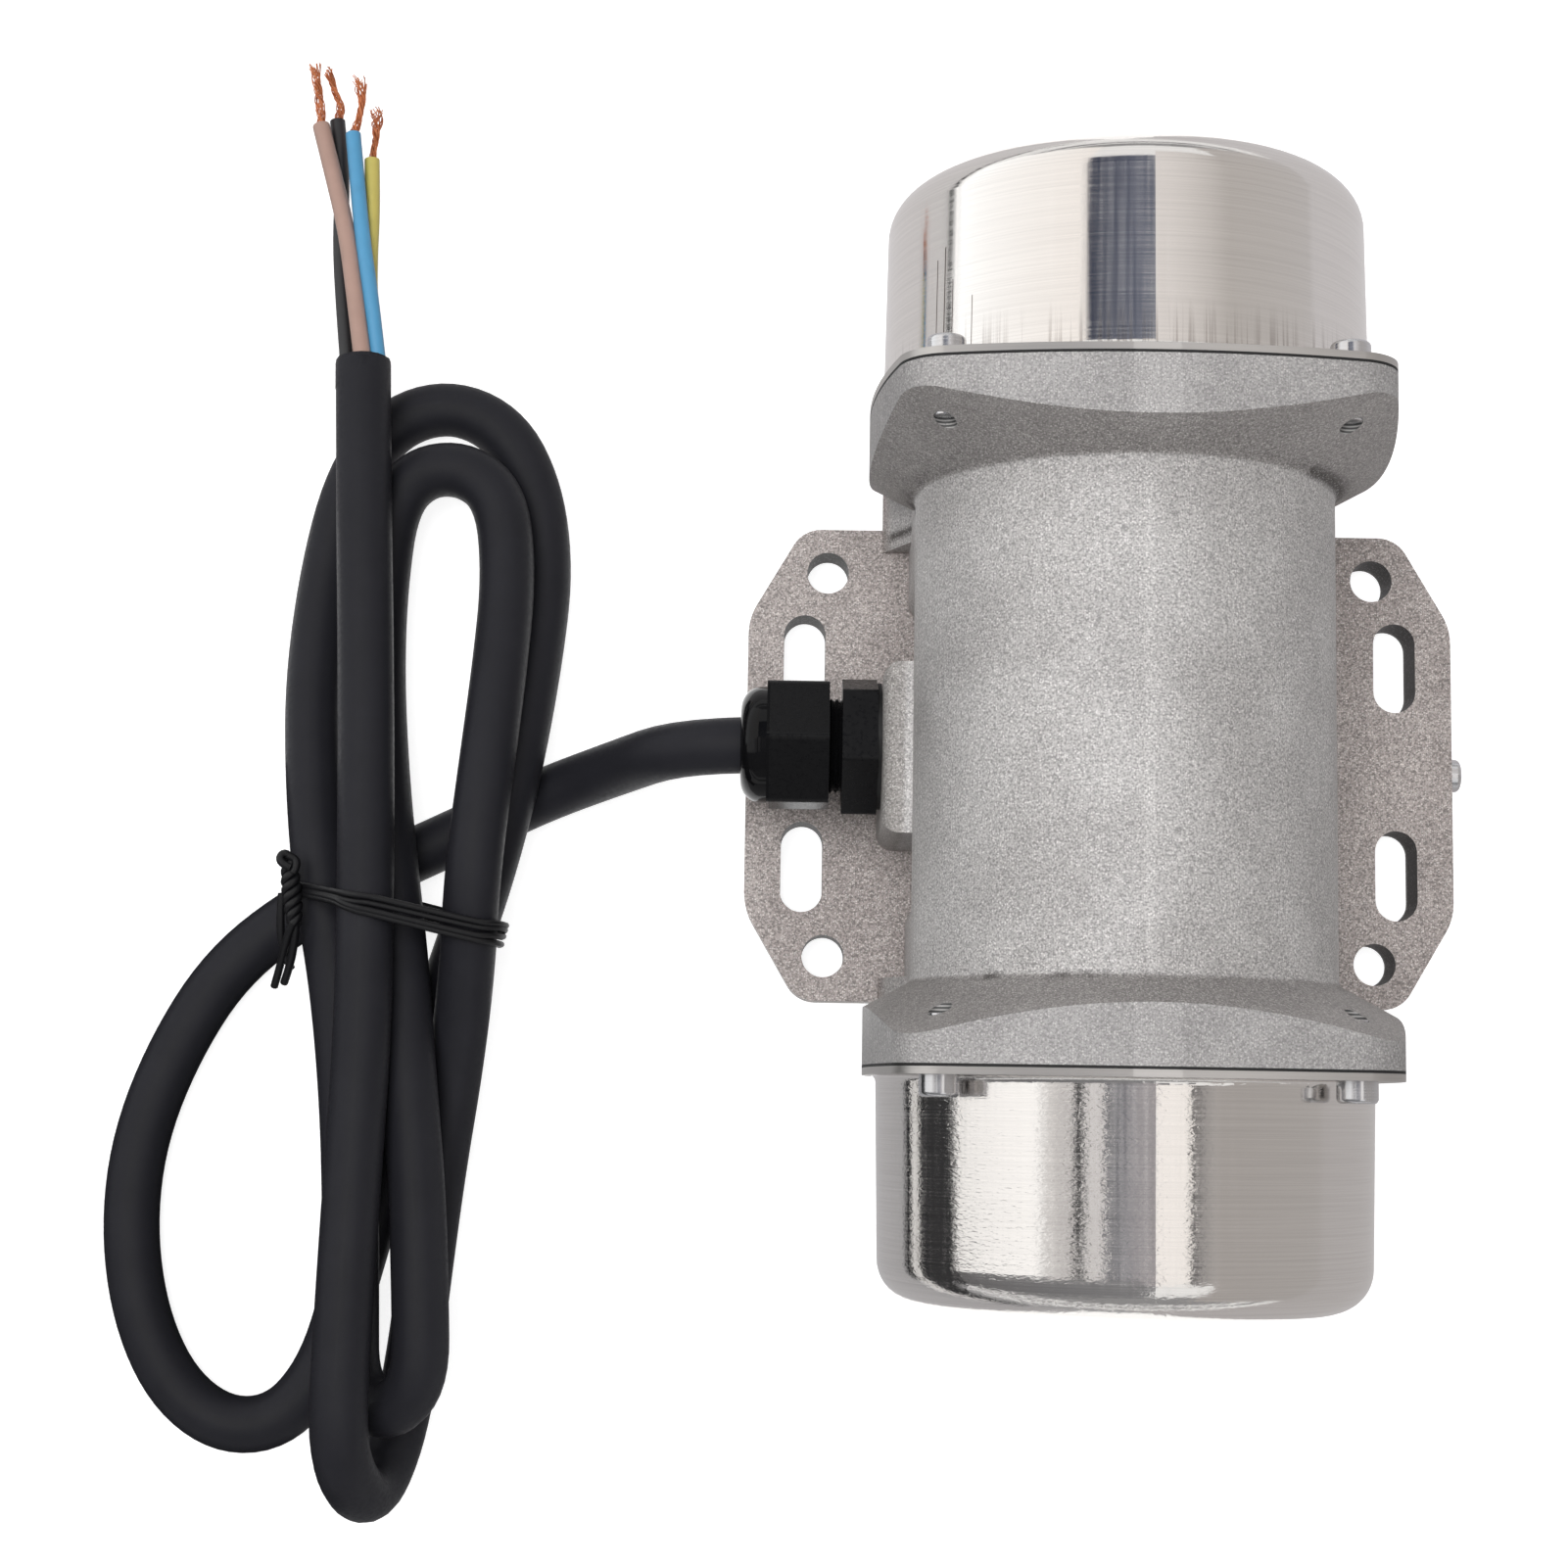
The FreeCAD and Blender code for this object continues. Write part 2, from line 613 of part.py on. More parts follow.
def end_shield(end):
    """The disc that carries a bearing, with a spigot and three sunk screw seats."""
    body = turned("end_shield_" + end, [
        (size.shield_hub_start, size.bearing_outer),
        (size.bearing_end, size.bearing_outer), (size.bearing_end, size.shield_bore),
        (size.face_y, size.shield_bore), (size.face_y, size.shield_rim),
        (size.shield_rim_start, size.shield_rim), (size.shield_rim_start, size.spigot_radius),
        (size.shield_web_start, size.spigot_radius),
        (size.shield_web_start, size.shield_hub_radius),
        (size.shield_hub_start, size.shield_hub_radius)])
    cuts = []
    for radius, depth in ((size.seat_radius, size.screw_head_height),
                          (size.clear_radius, size.register_depth)):
        sketch = across(body, size.face_y)
        add_circle(sketch, size.shield_screw_radius, 0, radius)
        cuts.append(pocket(body, sketch, depth, reverse=True))
    repeat(body, cuts, 3)
    return [body]


def spacer(end):
    """A sleeve between the bearing's inner ring and the weights."""
    return [ring("spacer_" + end, size.bearing_end, size.inner_weight_start,
                 size.journal_radius, size.spacer_radius)]


def add_weight_outline(sketch):
    """A wide lobe that hangs down from a round hub, with straight flanks between them."""
    lobe, hub, chord = size.weight_radius, size.hub_radius, size.weight_half_chord
    lobe_angle = math.degrees(math.acos(chord.value / lobe.value))
    hub_angle = math.degrees(math.acos(hub.value / lobe.value)) - lobe_angle
    low = add_arc(sketch, 0, 0, lobe, 180 + lobe_angle, 360 - lobe_angle)
    top = add_arc(sketch, 0, 0, hub, hub_angle, 180 - hub_angle)

    def rim(radius, angle):
        return Vector(radius * math.cos(math.radians(angle)),
                      radius * math.sin(math.radians(angle)), 0)

    right = sketch.addGeometry(Part.LineSegment(rim(lobe.value, -lobe_angle),
                                                rim(hub.value, hub_angle)))
    left = sketch.addGeometry(Part.LineSegment(rim(hub.value, 180 - hub_angle),
                                               rim(lobe.value, 180 + lobe_angle)))
    for one, other in ((low, right), (left, low)):
        sketch.addConstraint(Sketcher.Constraint("Coincident", one, 2, other, 1))
    for one, other in ((right, top), (top, left)):
        sketch.addConstraint(Sketcher.Constraint("Tangent", one, 2, other, 1))
    bind(sketch, chord, "DistanceX", -1, 1, low, 2)
    bind(sketch, chord, "DistanceX", low, 1, -1, 1)


def weight_body(label, start, end):
    body = new_body(label)
    sketch = across(body, start)
    add_weight_outline(sketch)
    add_circle(sketch, 0, 0, size.weight_seat + size.seat_play)
    pad(body, sketch, end - start, reverse=True)
    return body


def inner_weight(end):
    """The eccentric weight keyed to the shaft, with its key."""
    body = weight_body("inner_weight_" + end, size.inner_weight_start, size.inner_weight_end)
    half = size.key_width / 2 + size.seat_play
    sketch = across(body, size.inner_weight_start)
    top = size.keyway_top
    add_outline(sketch, [(0, -half), (top, -half), (top, half), (0, half)])
    pocket(body, sketch, size.inner_weight_end - size.inner_weight_start)
    key = new_body("weight_key_" + end)
    half = size.key_width / 2
    sketch = across(key, size.key_start)
    add_outline(sketch, [(size.key_floor, -half), (size.key_top, -half),
                         (size.key_top, half), (size.key_floor, half)])
    pad(key, sketch, size.key_end - size.key_start, reverse=True)
    return [body, key]


def outer_weight(end):
    """The eccentric weight that is turned to set the force, split and clamped on the shaft."""
    start, stop = size.outer_weight_start, size.outer_weight_end
    body = weight_body("outer_weight_" + end, start, stop)
    half, ear, hub = size.clamp_slot / 2, size.ear_half, size.hub_radius + OVERRUN
    floor, low = size.clamp_slot_floor, size.ear_floor
    sketch = across(body, start)
    add_outline(sketch, [(-half, floor), (half, floor), (half, hub), (-half, hub)])
    for side in (1, -1):
        add_outline(sketch, [(ear * side, low), (hub * side, low), (hub * side, hub),
                             (ear * side, hub)])
    pocket(body, sketch, stop - start)
    sketch = add_sketch(body, "YZ_Plane", ear)
    add_circle(sketch, (start + stop) / 2, size.clamp_height, size.clamp_hole)
    pocket(body, sketch, ear * 2)
    return [body]


def cylinder(name, radius, height, base=Vector(0, 0, 0)):
    piece = doc.addObject("Part::Cylinder", name)
    for key, value in (("Radius", as_size(radius)), ("Height", as_size(height))):
        setattr(piece, key, value.value)
        piece.setExpression(key, value.formula)
    piece.Placement.Base = base
    return piece


def prism(name, circumradius, height, base=Vector(0, 0, 0)):
    piece = doc.addObject("Part::Prism", name)
    piece.Polygon = 6
    for key, value in (("Circumradius", as_size(circumradius)), ("Height", as_size(height))):
        setattr(piece, key, value.value)
        piece.setExpression(key, value.formula)
    piece.Placement.Base = base
    return piece


def boolean(kind, name, base, tool):
    piece = doc.addObject("Part::" + kind, name)
    piece.Base = base
    piece.Tool = tool
    return piece


def cap_screw(name, radius, length, head, head_height):
    """A socket-head screw along +Z whose rounded head sits on the plane z = 0."""
    shank = cylinder(name + "_shank", radius, length, Vector(0, 0, -length.value))
    blank = cylinder(name + "_blank", head, head_height)
    doc.recompute()
    rim = [index for index, edge in enumerate(blank.Shape.Edges, start=1)
           if near(edge.CenterOfMass.z, head_height.value)]
    crown = doc.addObject("Part::Fillet", name + "_crown")
    crown.Base = blank
    crown.Edges = [(index, size.screw_head_round.value, size.screw_head_round.value)
                   for index in rim]
    depth = head_height / 2
    socket = prism(name + "_socket", radius * SOCKET_SHARE, depth,
                   Vector(0, 0, head_height.value - depth.value))
    return boolean("Cut", name, boolean("Fuse", name + "_solid", crown, shank), socket)


def group(label, pieces):
    compound = doc.addObject("Part::Compound", label)
    compound.Label = label
    compound.Links = pieces
    sub_parts.append(compound)
    return compound


def screws_across(label, seat, spots, length, head_height):
    """Cap screws along the shaft's direction, their heads seated at one distance."""
    screws = []
    for index, (x, z) in enumerate(spots):
        screw = cap_screw("%s_%d" % (label, index), size.screw_radius, length,
                          size.screw_head, head_height)
        screw.Placement = Placement(Vector(x, seat.value, z), Rotation(Vector(1, 0, 0), -90))
        screw.setExpression("Placement.Base.y", seat.formula)
        screws.append(screw)
    return group(label, screws)


def shield_screws(end):
    """Three screws that hold the end shield; their places follow its screw seats."""
    reach = size.shield_screw_radius.value
    spots = [(reach * math.cos(math.radians(angle - FIRST_SHIELD_SCREW)),
              reach * math.sin(math.radians(angle - FIRST_SHIELD_SCREW)))
             for angle in SHIELD_SCREW_ANGLES]
    return [screws_across("end_shield_screws_" + end, size.face_y - size.screw_head_height,
                          spots, size.screw_length, size.sunk_head_height)]


def cover_screws(end):
    """Four screws through the cover's plate into the corners of the flange."""
    at = size.cover_screw_x.value
    seat = size.face_y + size.gasket_thickness + size.plate_thickness
    spots = [(at, at), (-at, at), (-at, -at), (at, -at)]
    return [screws_across("cover_screws_" + end, seat, spots, size.screw_length,
                          size.screw_head_height)]


def weight_bolt(end):
    """The screw that closes the split hub of the outer weight."""
    screw = cap_screw("weight_bolt_" + end, size.clamp_radius, size.clamp_length,
                      size.clamp_head, size.clamp_head_height)
    middle = (size.outer_weight_start + size.outer_weight_end) / 2
    screw.Placement = Placement(Vector(size.ear_half.value, middle.value,
                                       size.clamp_height.value), Rotation(Vector(0, 1, 0), 90))
    return [group("outer_weight_bolt_" + end, [screw])]


def circlip(end):
    """An open retaining ring in the shaft's groove."""
    start, stop = size.circlip_start, size.circlip_end
    body = ring("shaft_circlip_" + end, start, stop, size.circlip_bore, size.circlip_radius)
    half, reach = size.circlip_gap / 2, size.circlip_radius + OVERRUN
    sketch = across(body, start)
    add_outline(sketch, [(-half, 0), (half, 0), (half, reach), (-half, reach)])
    pocket(body, sketch, stop - start)
    return [body]


def flanged_plate(label, start, thickness, opening):
    """A flat plate with the flange's outline, an opening and four screw holes."""
    body = new_body(label)
    sketch = across(body, start)
    add_flange_outline(sketch, size.flange_half)
    add_circle(sketch, 0, 0, opening)
    at = size.cover_screw_x
    for x, z in ((at, at), (-at, at), (-at, -at), (at, -at)):
        add_circle(sketch, x, z, size.clear_radius)
    pad(body, sketch, thickness, reverse=True)
    corner = size.flange_half.value * CORNER_SHARE
    fillet(body, size.flange_corner, lambda edge: runs_along(edge, 1)
           and abs(edge.CenterOfMass.x) > corner and abs(edge.CenterOfMass.z) > corner)
    return body


def cover_gasket(end):
    return [flanged_plate("cover_gasket_" + end, size.face_y, size.gasket_thickness,
                          size.gasket_bore)]


def end_cover(end):
    """A deep-drawn cup with a flat screw flange and a well-rounded closed end."""
    start = size.face_y + size.gasket_thickness
    wall = size.cup_wall
    body = flanged_plate("end_cover_" + end, start, size.plate_thickness,
                         size.cup_radius - wall)
    turn(body, "Revolution", [
        (start, size.cup_radius - wall), (start, size.cup_radius),
        (size.cup_end_y, size.cup_end_radius), (size.cup_end_y, 0),
        (size.cup_end_y - wall, 0), (size.cup_end_y - wall, size.cup_end_radius - wall)])

    def circles_at(y, radius):
        return lambda edge: (near(edge.CenterOfMass.y, y, 0.3)
                             and near(edge.BoundBox.XLength, radius * 2, 0.3))

    end_y, end_radius = size.cup_end_y.value, size.cup_end_radius.value
    root_y = (start + size.plate_thickness).value
    fillet(body, size.cup_end_fillet, circles_at(end_y, end_radius))
    fillet(body, size.cup_end_fillet - wall, circles_at(end_y - wall.value,
                                                        end_radius - wall.value))
    fillet(body, size.cup_root_fillet, circles_at(root_y, size.cup_radius.value))
    return [body]


END_PIECES = (bearing, end_shield, shield_screws, spacer, inner_weight, outer_weight,
              weight_bolt, circlip, cover_gasket, end_cover, cover_screws)


def both_ends():
    for end, half_turn in (("rear", False), ("front", True)):
        for make in END_PIECES:
            for piece in make(end):
                seat_turn = -FIRST_SHIELD_SCREW if make in (end_shield, shield_screws) else 0
                lift(piece, half_turn, seat_turn)


# ---------------------------------------------------------------- gland and earth screw


def on_boss(piece):
    """Places a piece drawn along +Y so that it stands out of the boss along -X."""
    piece.Placement = Placement(Vector(-size.boss_face.value, size.gland_y.value,
                                       size.gland_z.value), Rotation(Vector(0, 0, 1), 90))
    for axis, length in (("x", -size.boss_face), ("y", size.gland_y), ("z", size.gland_z)):
        piece.setExpression("Placement.Base." + axis, length.formula)


def add_hexagon(sketch, radius, first_corner):
    angles = [math.radians(first_corner + 60 * step) for step in range(6)]
    add_outline(sketch, [(radius * math.cos(angle), radius * math.sin(angle))
                         for angle in angles])


def hexagon_prism(body, start, end, radius, corner_round, first_corner):
    """A six-sided block along Y whose long edges are rounded."""
    sketch = across(body, start)
    add_hexagon(sketch, radius, first_corner)
    pad(body, sketch, end - start, reverse=True)
    fillet(body, corner_round, lambda edge: runs_along(edge, 1))


def gland_body():
    """A hexagon with a threaded stub for the boss and an outer thread for the nut."""
    body = new_body("gland_body")
    hexagon_prism(body, size.washer_thickness, size.gland_hex_end, size.gland_hex,
                  size.gland_hex_round, 90 + BODY_HEX_TURN)
    crest, root, pitch = size.nut_thread, size.nut_thread_root, size.thread_pitch
    profile = [(-size.gland_stub, 0), (-size.gland_stub, size.gland_thread),
               (size.washer_thickness, size.gland_thread), (size.gland_hex_end, crest)]
    for step in (0, 1, 2):
        start = size.gland_hex_end + pitch * step
        profile += [(start + pitch / 2, root), (start + pitch, crest)]
    turn(body, "Revolution", profile + [(size.thread_end, crest), (size.thread_end, 0)])
    bore = size.gland_bore
    turn(body, "Groove", [(-size.gland_stub - OVERRUN, 0), (-size.gland_stub - OVERRUN, bore),
                          (size.thread_end + OVERRUN, bore), (size.thread_end + OVERRUN, 0)])
    on_boss(body)


def gland_nut():
    """A hexagon nut whose rounded dome closes round the cable."""
    body = new_body("gland_nut")
    start, end = size.nut_start, size.dome_end
    hexagon_prism(body, start, size.nut_hex_end, size.nut_hex, size.nut_hex_round, 90)
    turn(body, "Revolution", [(size.nut_hex_end, 0), (end, 0), (end, size.dome_radius),
                              (size.nut_hex_end, size.dome_radius)])
    fillet(body, size.dome_fillet, lambda edge: near(edge.CenterOfMass.y, end.value)
           and near(edge.BoundBox.XLength, size.dome_radius.value * 2))
    turn(body, "Groove", [
        (start - OVERRUN, 0), (start - OVERRUN, size.nut_thread_hole),
        (size.nut_thread_floor, size.nut_thread_hole), (size.nut_thread_floor, size.seal_room),
        (size.seal_floor, size.seal_room), (size.seal_floor, size.dome_mouth),
        (end + OVERRUN, size.dome_mouth), (end + OVERRUN, 0)])
    on_boss(body)


def gland():
    """A sealing washer, the body, the clamping nut with its dome, and the seal inside."""
    on_boss(ring("gland_washer", 0, size.washer_thickness, size.gland_hole,
                 size.washer_radius))
    gland_body()
    on_boss(ring("gland_seal", size.seal_start, size.seal_end, size.cable_radius,
                 size.seal_outer))
    gland_nut()


def earth_screw():
    """The earth screw in the outer edge of the foot, away from the gland."""
    screw = cap_screw("earth", size.screw_radius, size.earth_screw_length, size.earth_head,
                      size.earth_head_height)
    screw.Placement = Placement(Vector(size.foot_half_width.value, 0,
                                       size.foot_thickness.value / 2),
                                Rotation(Vector(0, 1, 0), 90))
    group("earth_screw", [screw])


# ---------------------------------------------------------------- cable

CABLE_ROUTE = [
    (-50, 0.4, 25), (-63.5, 0.4, 25), (-76, -2, 10), (-87, -5.5, 4.4), (-98, -11, 4.3),
    (-110.5, -17, 4.3), (-124, -24, 4.3), (-135, -33, 4.3), (-142.5, -45.5, 4.3),
    (-147.5, -59.5, 4.3), (-148.5, -73.5, 4.3), (-146, -87, 4.3), (-140.5, -97.5, 4.3),
    (-132.5, -103, 4.3), (-124, -102, 4.3), (-117.5, -94, 4.3), (-114, -81, 4.3),
    (-110, -65.5, 4.3), (-104.5, -48, 4.6), (-98.5, -31.5, 8.8), (-93.5, -17.5, 14),
    (-90, -1.5, 12.9), (-88, 16.5, 6.5), (-87, 31, 4.3), (-89, 43.5, 4.3), (-94, 53, 4.3),
    (-102.5, 57, 4.3), (-111.5, 54.5, 4.3), (-118, 46, 4.3), (-121.5, 32, 4.3),
    (-123, 12.5, 7), (-121.5, -5, 11), (-119, -21, 14.6), (-116, -36.5, 13.6),
    (-114, -54, 13), (-113, -70.5, 13), (-112.5, -84, 13.2), (-112, -95.5, 14),
    (-106, -99.5, 17.6), (-100.5, -94, 21.2), (-101, -82, 21.3), (-102, -67, 20.5),
    (-104, -49.5, 20.4), (-106, -33.5, 16.8), (-108.5, -18.5, 14.4), (-111, -3, 10.5),
    (-112.5, 12.5, 8.5), (-112.5, 26.5, 8.5), (-111, 40, 9.2), (-106, 45, 10.2),
    (-99, 45, 11), (-93.5, 40, 12), (-92, 27.5, 13.2), (-92.5, 13, 17.2), (-93.5, -2.5, 21.6),
    (-95, -19, 23.2), (-96, -33.5, 17.6), (-98, -48, 12.2), (-100.5, -63, 8.8),
    (-102.5, -78, 5.5), (-104, -92.5, 4.5), (-106.5, -107, 5.8), (-109, -112.5, 16),
    (-111.5, -104.5, 26.3), (-111.5, -92, 27), (-111, -68.5, 25.9), (-110, -41.5, 26.0),
    (-111, -15, 23.4), (-112.5, 10.5, 19.6), (-114, 37, 17.8), (-115.5, 61, 14.5),
]
# each stripped core, from just inside the end of the jacket to the end of its insulation
CORE_ROUTES = {
    "core_brown": [(-115.1, 60, 16.8), (-117.2, 71.9, 14.6), (-119.2, 83, 12.8),
                   (-121.9, 92.3, 10.8), (-124.5, 101.1, 9)],
    "core_black": [(-117.9, 60.4, 14.4), (-119.6, 72.6, 12), (-120.7, 82.8, 9.9),
                   (-120.9, 93.1, 8), (-122.3, 102.7, 7)],
    "core_blue": [(-112.7, 60.3, 15.9), (-114.5, 71.7, 15.2), (-116.2, 80.7, 13.8),
                  (-117.7, 90.2, 12), (-119.1, 99.3, 10.5)],
    "core_earth": [(-113.5, 60.3, 13.2), (-114, 71, 12.4), (-114.7, 77.6, 11.6),
                   (-115.3, 86, 10.4), (-116.2, 95.6, 9)],
}
COPPER_ENDS = {
    "core_brown": (-126.5, 111.5, 8), "core_black": (-124.3, 111.8, 6.5),
    "core_blue": (-118.8, 108.3, 9.5), "core_earth": (-116.2, 104, 8),
}
# the tie's corners: distances along the line across the hank, and heights
TIE_CORNERS = [(2.4, 14.4), (10.9, 24.6), (26.6, 20.1), (25, 9.6)]
TIE_ORIGIN = Vector(-121.5, -23, 0)
TIE_ALONG = Vector(31, -7, 0)
BEND_SHARE = 0.45


def bent_path(points):
    """Straight runs joined by tangent arcs, each as large as its two runs allow."""
    points = [Vector(*point) for point in points]
    edges, radii = [], []
    last = points[0]
    for before, corner, after in zip(points, points[1:], points[2:]):
        back, ahead = before - corner, after - corner
        reach = BEND_SHARE * min(back.Length, ahead.Length)
        back.normalize()
        ahead.normalize()
        turn_half = (math.pi - back.getAngle(ahead)) / 2
        radius = reach / math.tan(turn_half)
        start, end = corner + back * reach, corner + ahead * reach
        inward = (back + ahead).normalize()
        middle = corner + inward * (radius / math.cos(turn_half) - radius)
        edges.append(Part.LineSegment(last, start).toShape())
        edges.append(Part.Arc(start, middle, end).toShape())
        radii.append(radius)
        last = end
    edges.append(Part.LineSegment(last, points[-1]).toShape())
    return Part.Wire(edges), radii


def cord_feature(label, points, radius):
    """A round cord swept along its bent path."""
    path, radii = bent_path(points)
    heading = Vector(*points[1]) - Vector(*points[0])
    section = Part.Wire(Part.Circle(Vector(*points[0]), heading, radius.value).toShape())
    solid = path.makePipeShell([section], True, False)
    expected = math.pi * radius.value ** 2 * path.Length
    print("%s: length %.1f mm, volume %.0f of %.0f mm3, bend radii %s" % (
        label, path.Length, solid.Volume, expected, " ".join("%.0f" % r for r in radii)))
    feature = doc.addObject("Part::Feature", label)
    feature.Label = label
    feature.Shape = solid
    sub_parts.append(feature)


def copper_ends():
    """The bared copper of the four cores."""
    pieces = []
    for name, tip in COPPER_ENDS.items():
        base = Vector(*CORE_ROUTES[name][-1])
        along = Vector(*tip) - base
        pieces.append(Part.makeCylinder(size.wire_radius.value, along.Length, base, along))
    feature = doc.addObject("Part::Feature", "core_copper")
    feature.Label = "core_copper"
    feature.Shape = Part.makeCompound(pieces)
    sub_parts.append(feature)


def cable_tie():
    """A flat band pulled round the hank, its corners rounded by the strands inside it."""
    along = Vector(TIE_ALONG).normalize()
    across_band = along.cross(Vector(0, 0, 1)) * size.tie_width.value
    corners = [TIE_ORIGIN + along * u + Vector(0, 0, z) - across_band / 2
               for u, z in TIE_CORNERS]
    centres = Part.makePolygon(corners + corners[:1])
    inside = size.cable_radius.value + size.tie_play.value
    inner = Part.Face(centres.makeOffset2D(inside))
    outer = Part.Face(centres.makeOffset2D(inside + size.tie_thickness.value))
    feature = doc.addObject("Part::Feature", "cable_tie")
    feature.Label = "cable_tie"
    feature.Shape = outer.cut(inner).extrude(across_band)
    sub_parts.append(feature)


def cable():
    cord_feature("cable", CABLE_ROUTE, size.cable_radius)
    for name, route in CORE_ROUTES.items():
        cord_feature(name, route, size.core_radius)
    copper_ends()
    cable_tie()


# ---------------------------------------------------------------- build, test and write

motor_housing()
stator_core()
stator_windings()
rotor_core()
rotor_cage()
shaft()
both_ends()
gland()
earth_screw()
cable()
doc.recompute()

for item in doc.Objects:
    if "Invalid" in item.State or "Error" in item.State:
        raise RuntimeError("%s failed: %s" % (item.Label, item.State))
for piece in sub_parts:
    if piece.Shape.isNull() or not piece.Shape.isValid():
        raise RuntimeError("%s has no valid shape" % piece.Label)
for piece in sub_parts:
    piece.Shape.exportStep(os.path.join("parts", piece.Label + ".step"))
    box = piece.Shape.BoundBox
    print("%-26s %9.0f mm3  x %6.1f %6.1f  y %6.1f %6.1f  z %6.1f %6.1f" % (
        piece.Label, piece.Shape.Volume, box.XMin, box.XMax, box.YMin, box.YMax,
        box.ZMin, box.ZMax))
print("%d sub-parts written" % len(sub_parts))
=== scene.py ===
# %% [markdown]
# # A vibration motor and its cable
#
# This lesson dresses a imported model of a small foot-mounted vibration motor. The castings,
# covers and screws already exist as solids, so the work here is in the finishes: a blasted
# aluminium casting, drawn and brushed stainless covers, nylon, and a rubber cable that lies in
# a tied hank. The free cable, its cores, the copper and the tie are modelled here as curves.

import json
import math

import bpy
from mathutils import Euler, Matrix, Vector


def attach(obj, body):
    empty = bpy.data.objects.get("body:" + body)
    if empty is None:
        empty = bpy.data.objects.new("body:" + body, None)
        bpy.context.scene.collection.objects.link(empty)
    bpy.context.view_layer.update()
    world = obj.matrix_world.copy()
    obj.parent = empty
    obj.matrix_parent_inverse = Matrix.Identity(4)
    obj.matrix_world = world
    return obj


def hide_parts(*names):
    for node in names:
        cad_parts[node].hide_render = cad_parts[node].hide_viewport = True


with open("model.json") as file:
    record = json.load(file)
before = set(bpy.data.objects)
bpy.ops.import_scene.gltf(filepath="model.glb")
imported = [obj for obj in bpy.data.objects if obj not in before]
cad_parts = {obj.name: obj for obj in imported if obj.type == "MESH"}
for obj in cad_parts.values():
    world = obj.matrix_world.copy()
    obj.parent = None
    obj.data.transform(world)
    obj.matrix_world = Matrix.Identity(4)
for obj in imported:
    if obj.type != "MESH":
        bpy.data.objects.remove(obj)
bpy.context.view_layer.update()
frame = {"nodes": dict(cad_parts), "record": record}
MM = 0.001
nodes = frame["nodes"]

# %% [markdown]
# ## The camera
#
# The motor lies on its foot and the camera hangs over it, a little towards the front and the
# cable side, and tilted a few degrees so that the covers' round ends show. The lens is long,
# so the far feet look almost as large as the near barrel. Euler order ZYX applies the roll
# about the lens first and the tilt last, which keeps the three angles independent.

# %% Place the camera
CAMERA_PLACE = Vector((-46.776, -51.928, 415.931)) * MM
CAMERA_TILT = (0.1184, 0.0051, 0.0159)
LENS_MM = 60.73

camera_data = bpy.data.cameras.new("camera")
camera_data.lens = LENS_MM
camera_data.sensor_width = 36
camera_data.clip_start = 0.01
camera = bpy.data.objects.new("camera", camera_data)
camera.location = CAMERA_PLACE
camera.rotation_mode = "ZYX"
camera.rotation_euler = Euler(CAMERA_TILT, "ZYX")
bpy.context.collection.objects.link(camera)
bpy.context.scene.camera = camera
print("camera", round(CAMERA_PLACE.z, 3), "m over the floor")

# %% [markdown]
# ## Floor, lamps and what the metal sees
#
# Polished metal has no colour of its own: it shows the room. A white floor and a pale room
# give the covers their body. A large bright card on the left and a few dark strips hung
# overhead give them the long bands that make a round surface read as steel. The cards are
# stage pieces that only reflections can see, so they light nothing and cast no shadow.

# %% Flat stage pieces
scene = bpy.context.scene
scene.view_settings.view_transform = "Standard"


def card(name, start, end, y_range):
    """A flat card between two (x, z) lines in metres, drawn along a range of y."""
    corners = [(start[0], y_range[0], start[1]), (end[0], y_range[0], end[1]),
               (end[0], y_range[1], end[1]), (start[0], y_range[1], start[1])]
    mesh = bpy.data.meshes.new(name)
    mesh.from_pydata(corners, [], [(0, 1, 2, 3)])
    made = bpy.data.objects.new(name, mesh)
    bpy.context.collection.objects.link(made)
    return made


print("view transform:", scene.view_settings.view_transform)

# %% [markdown]
# ## The floor
#
# A sheet of pale paper under a product does two jobs: it shows as white, and it takes the
# object's soft shadow. The paper's own colour is a middle grey that the lamps light, and a glow
# that only cameras, mirrors and glass see lifts it to white without lighting the object.

# %% Helpers for nodes and materials
def add_node(tree, kind, links=(), **values):
    """A node with attributes or socket values by name, and links as (socket, source)."""
    node = tree.nodes.new("ShaderNode" + kind)
    for key, value in values.items():
        title = key.replace("_", " ")
        if title in node.inputs:
            node.inputs[title].default_value = value
        else:
            setattr(node, key, value)
    for socket, source in links:
        tree.links.new(source, node.inputs[socket])
    return node


def math_node(tree, operation, first, second=None):
    """A Math node whose inputs are sockets or plain numbers."""
    node = add_node(tree, "Math", operation=operation)
    for index, value in enumerate((first, second)):
        if isinstance(value, (int, float)):
            node.inputs[index].default_value = value
        elif value is not None:
            tree.links.new(value, node.inputs[index])
    return node.outputs[0]


def mix_colour(tree, factor, first, second, kind="MIX"):
    """Mixes, multiplies or adds two colours, each a plain colour or a socket."""
    node = add_node(tree, "Mix", data_type="RGBA", blend_type=kind)
    tree.links.new(factor, node.inputs[0])
    # sockets 6 and 7 of a Mix node are its colours A and B
    for index, colour in ((6, first), (7, second)):
        if isinstance(colour, tuple):
            node.inputs[index].default_value = (*colour, 1)
        else:
            tree.links.new(colour, node.inputs[index])
    return node.outputs[2]


def new_material(name, **values):
    """A material with one Principled shader whose plain values are set by socket name."""
    made = bpy.data.materials.new(name)
    made.use_nodes = True
    tree = made.node_tree
    shader = tree.nodes["Principled BSDF"]
    for key, value in values.items():
        socket = shader.inputs[key.replace("_", " ")]
        socket.default_value = (*value, 1) if isinstance(value, tuple) else value
    return made, tree, shader


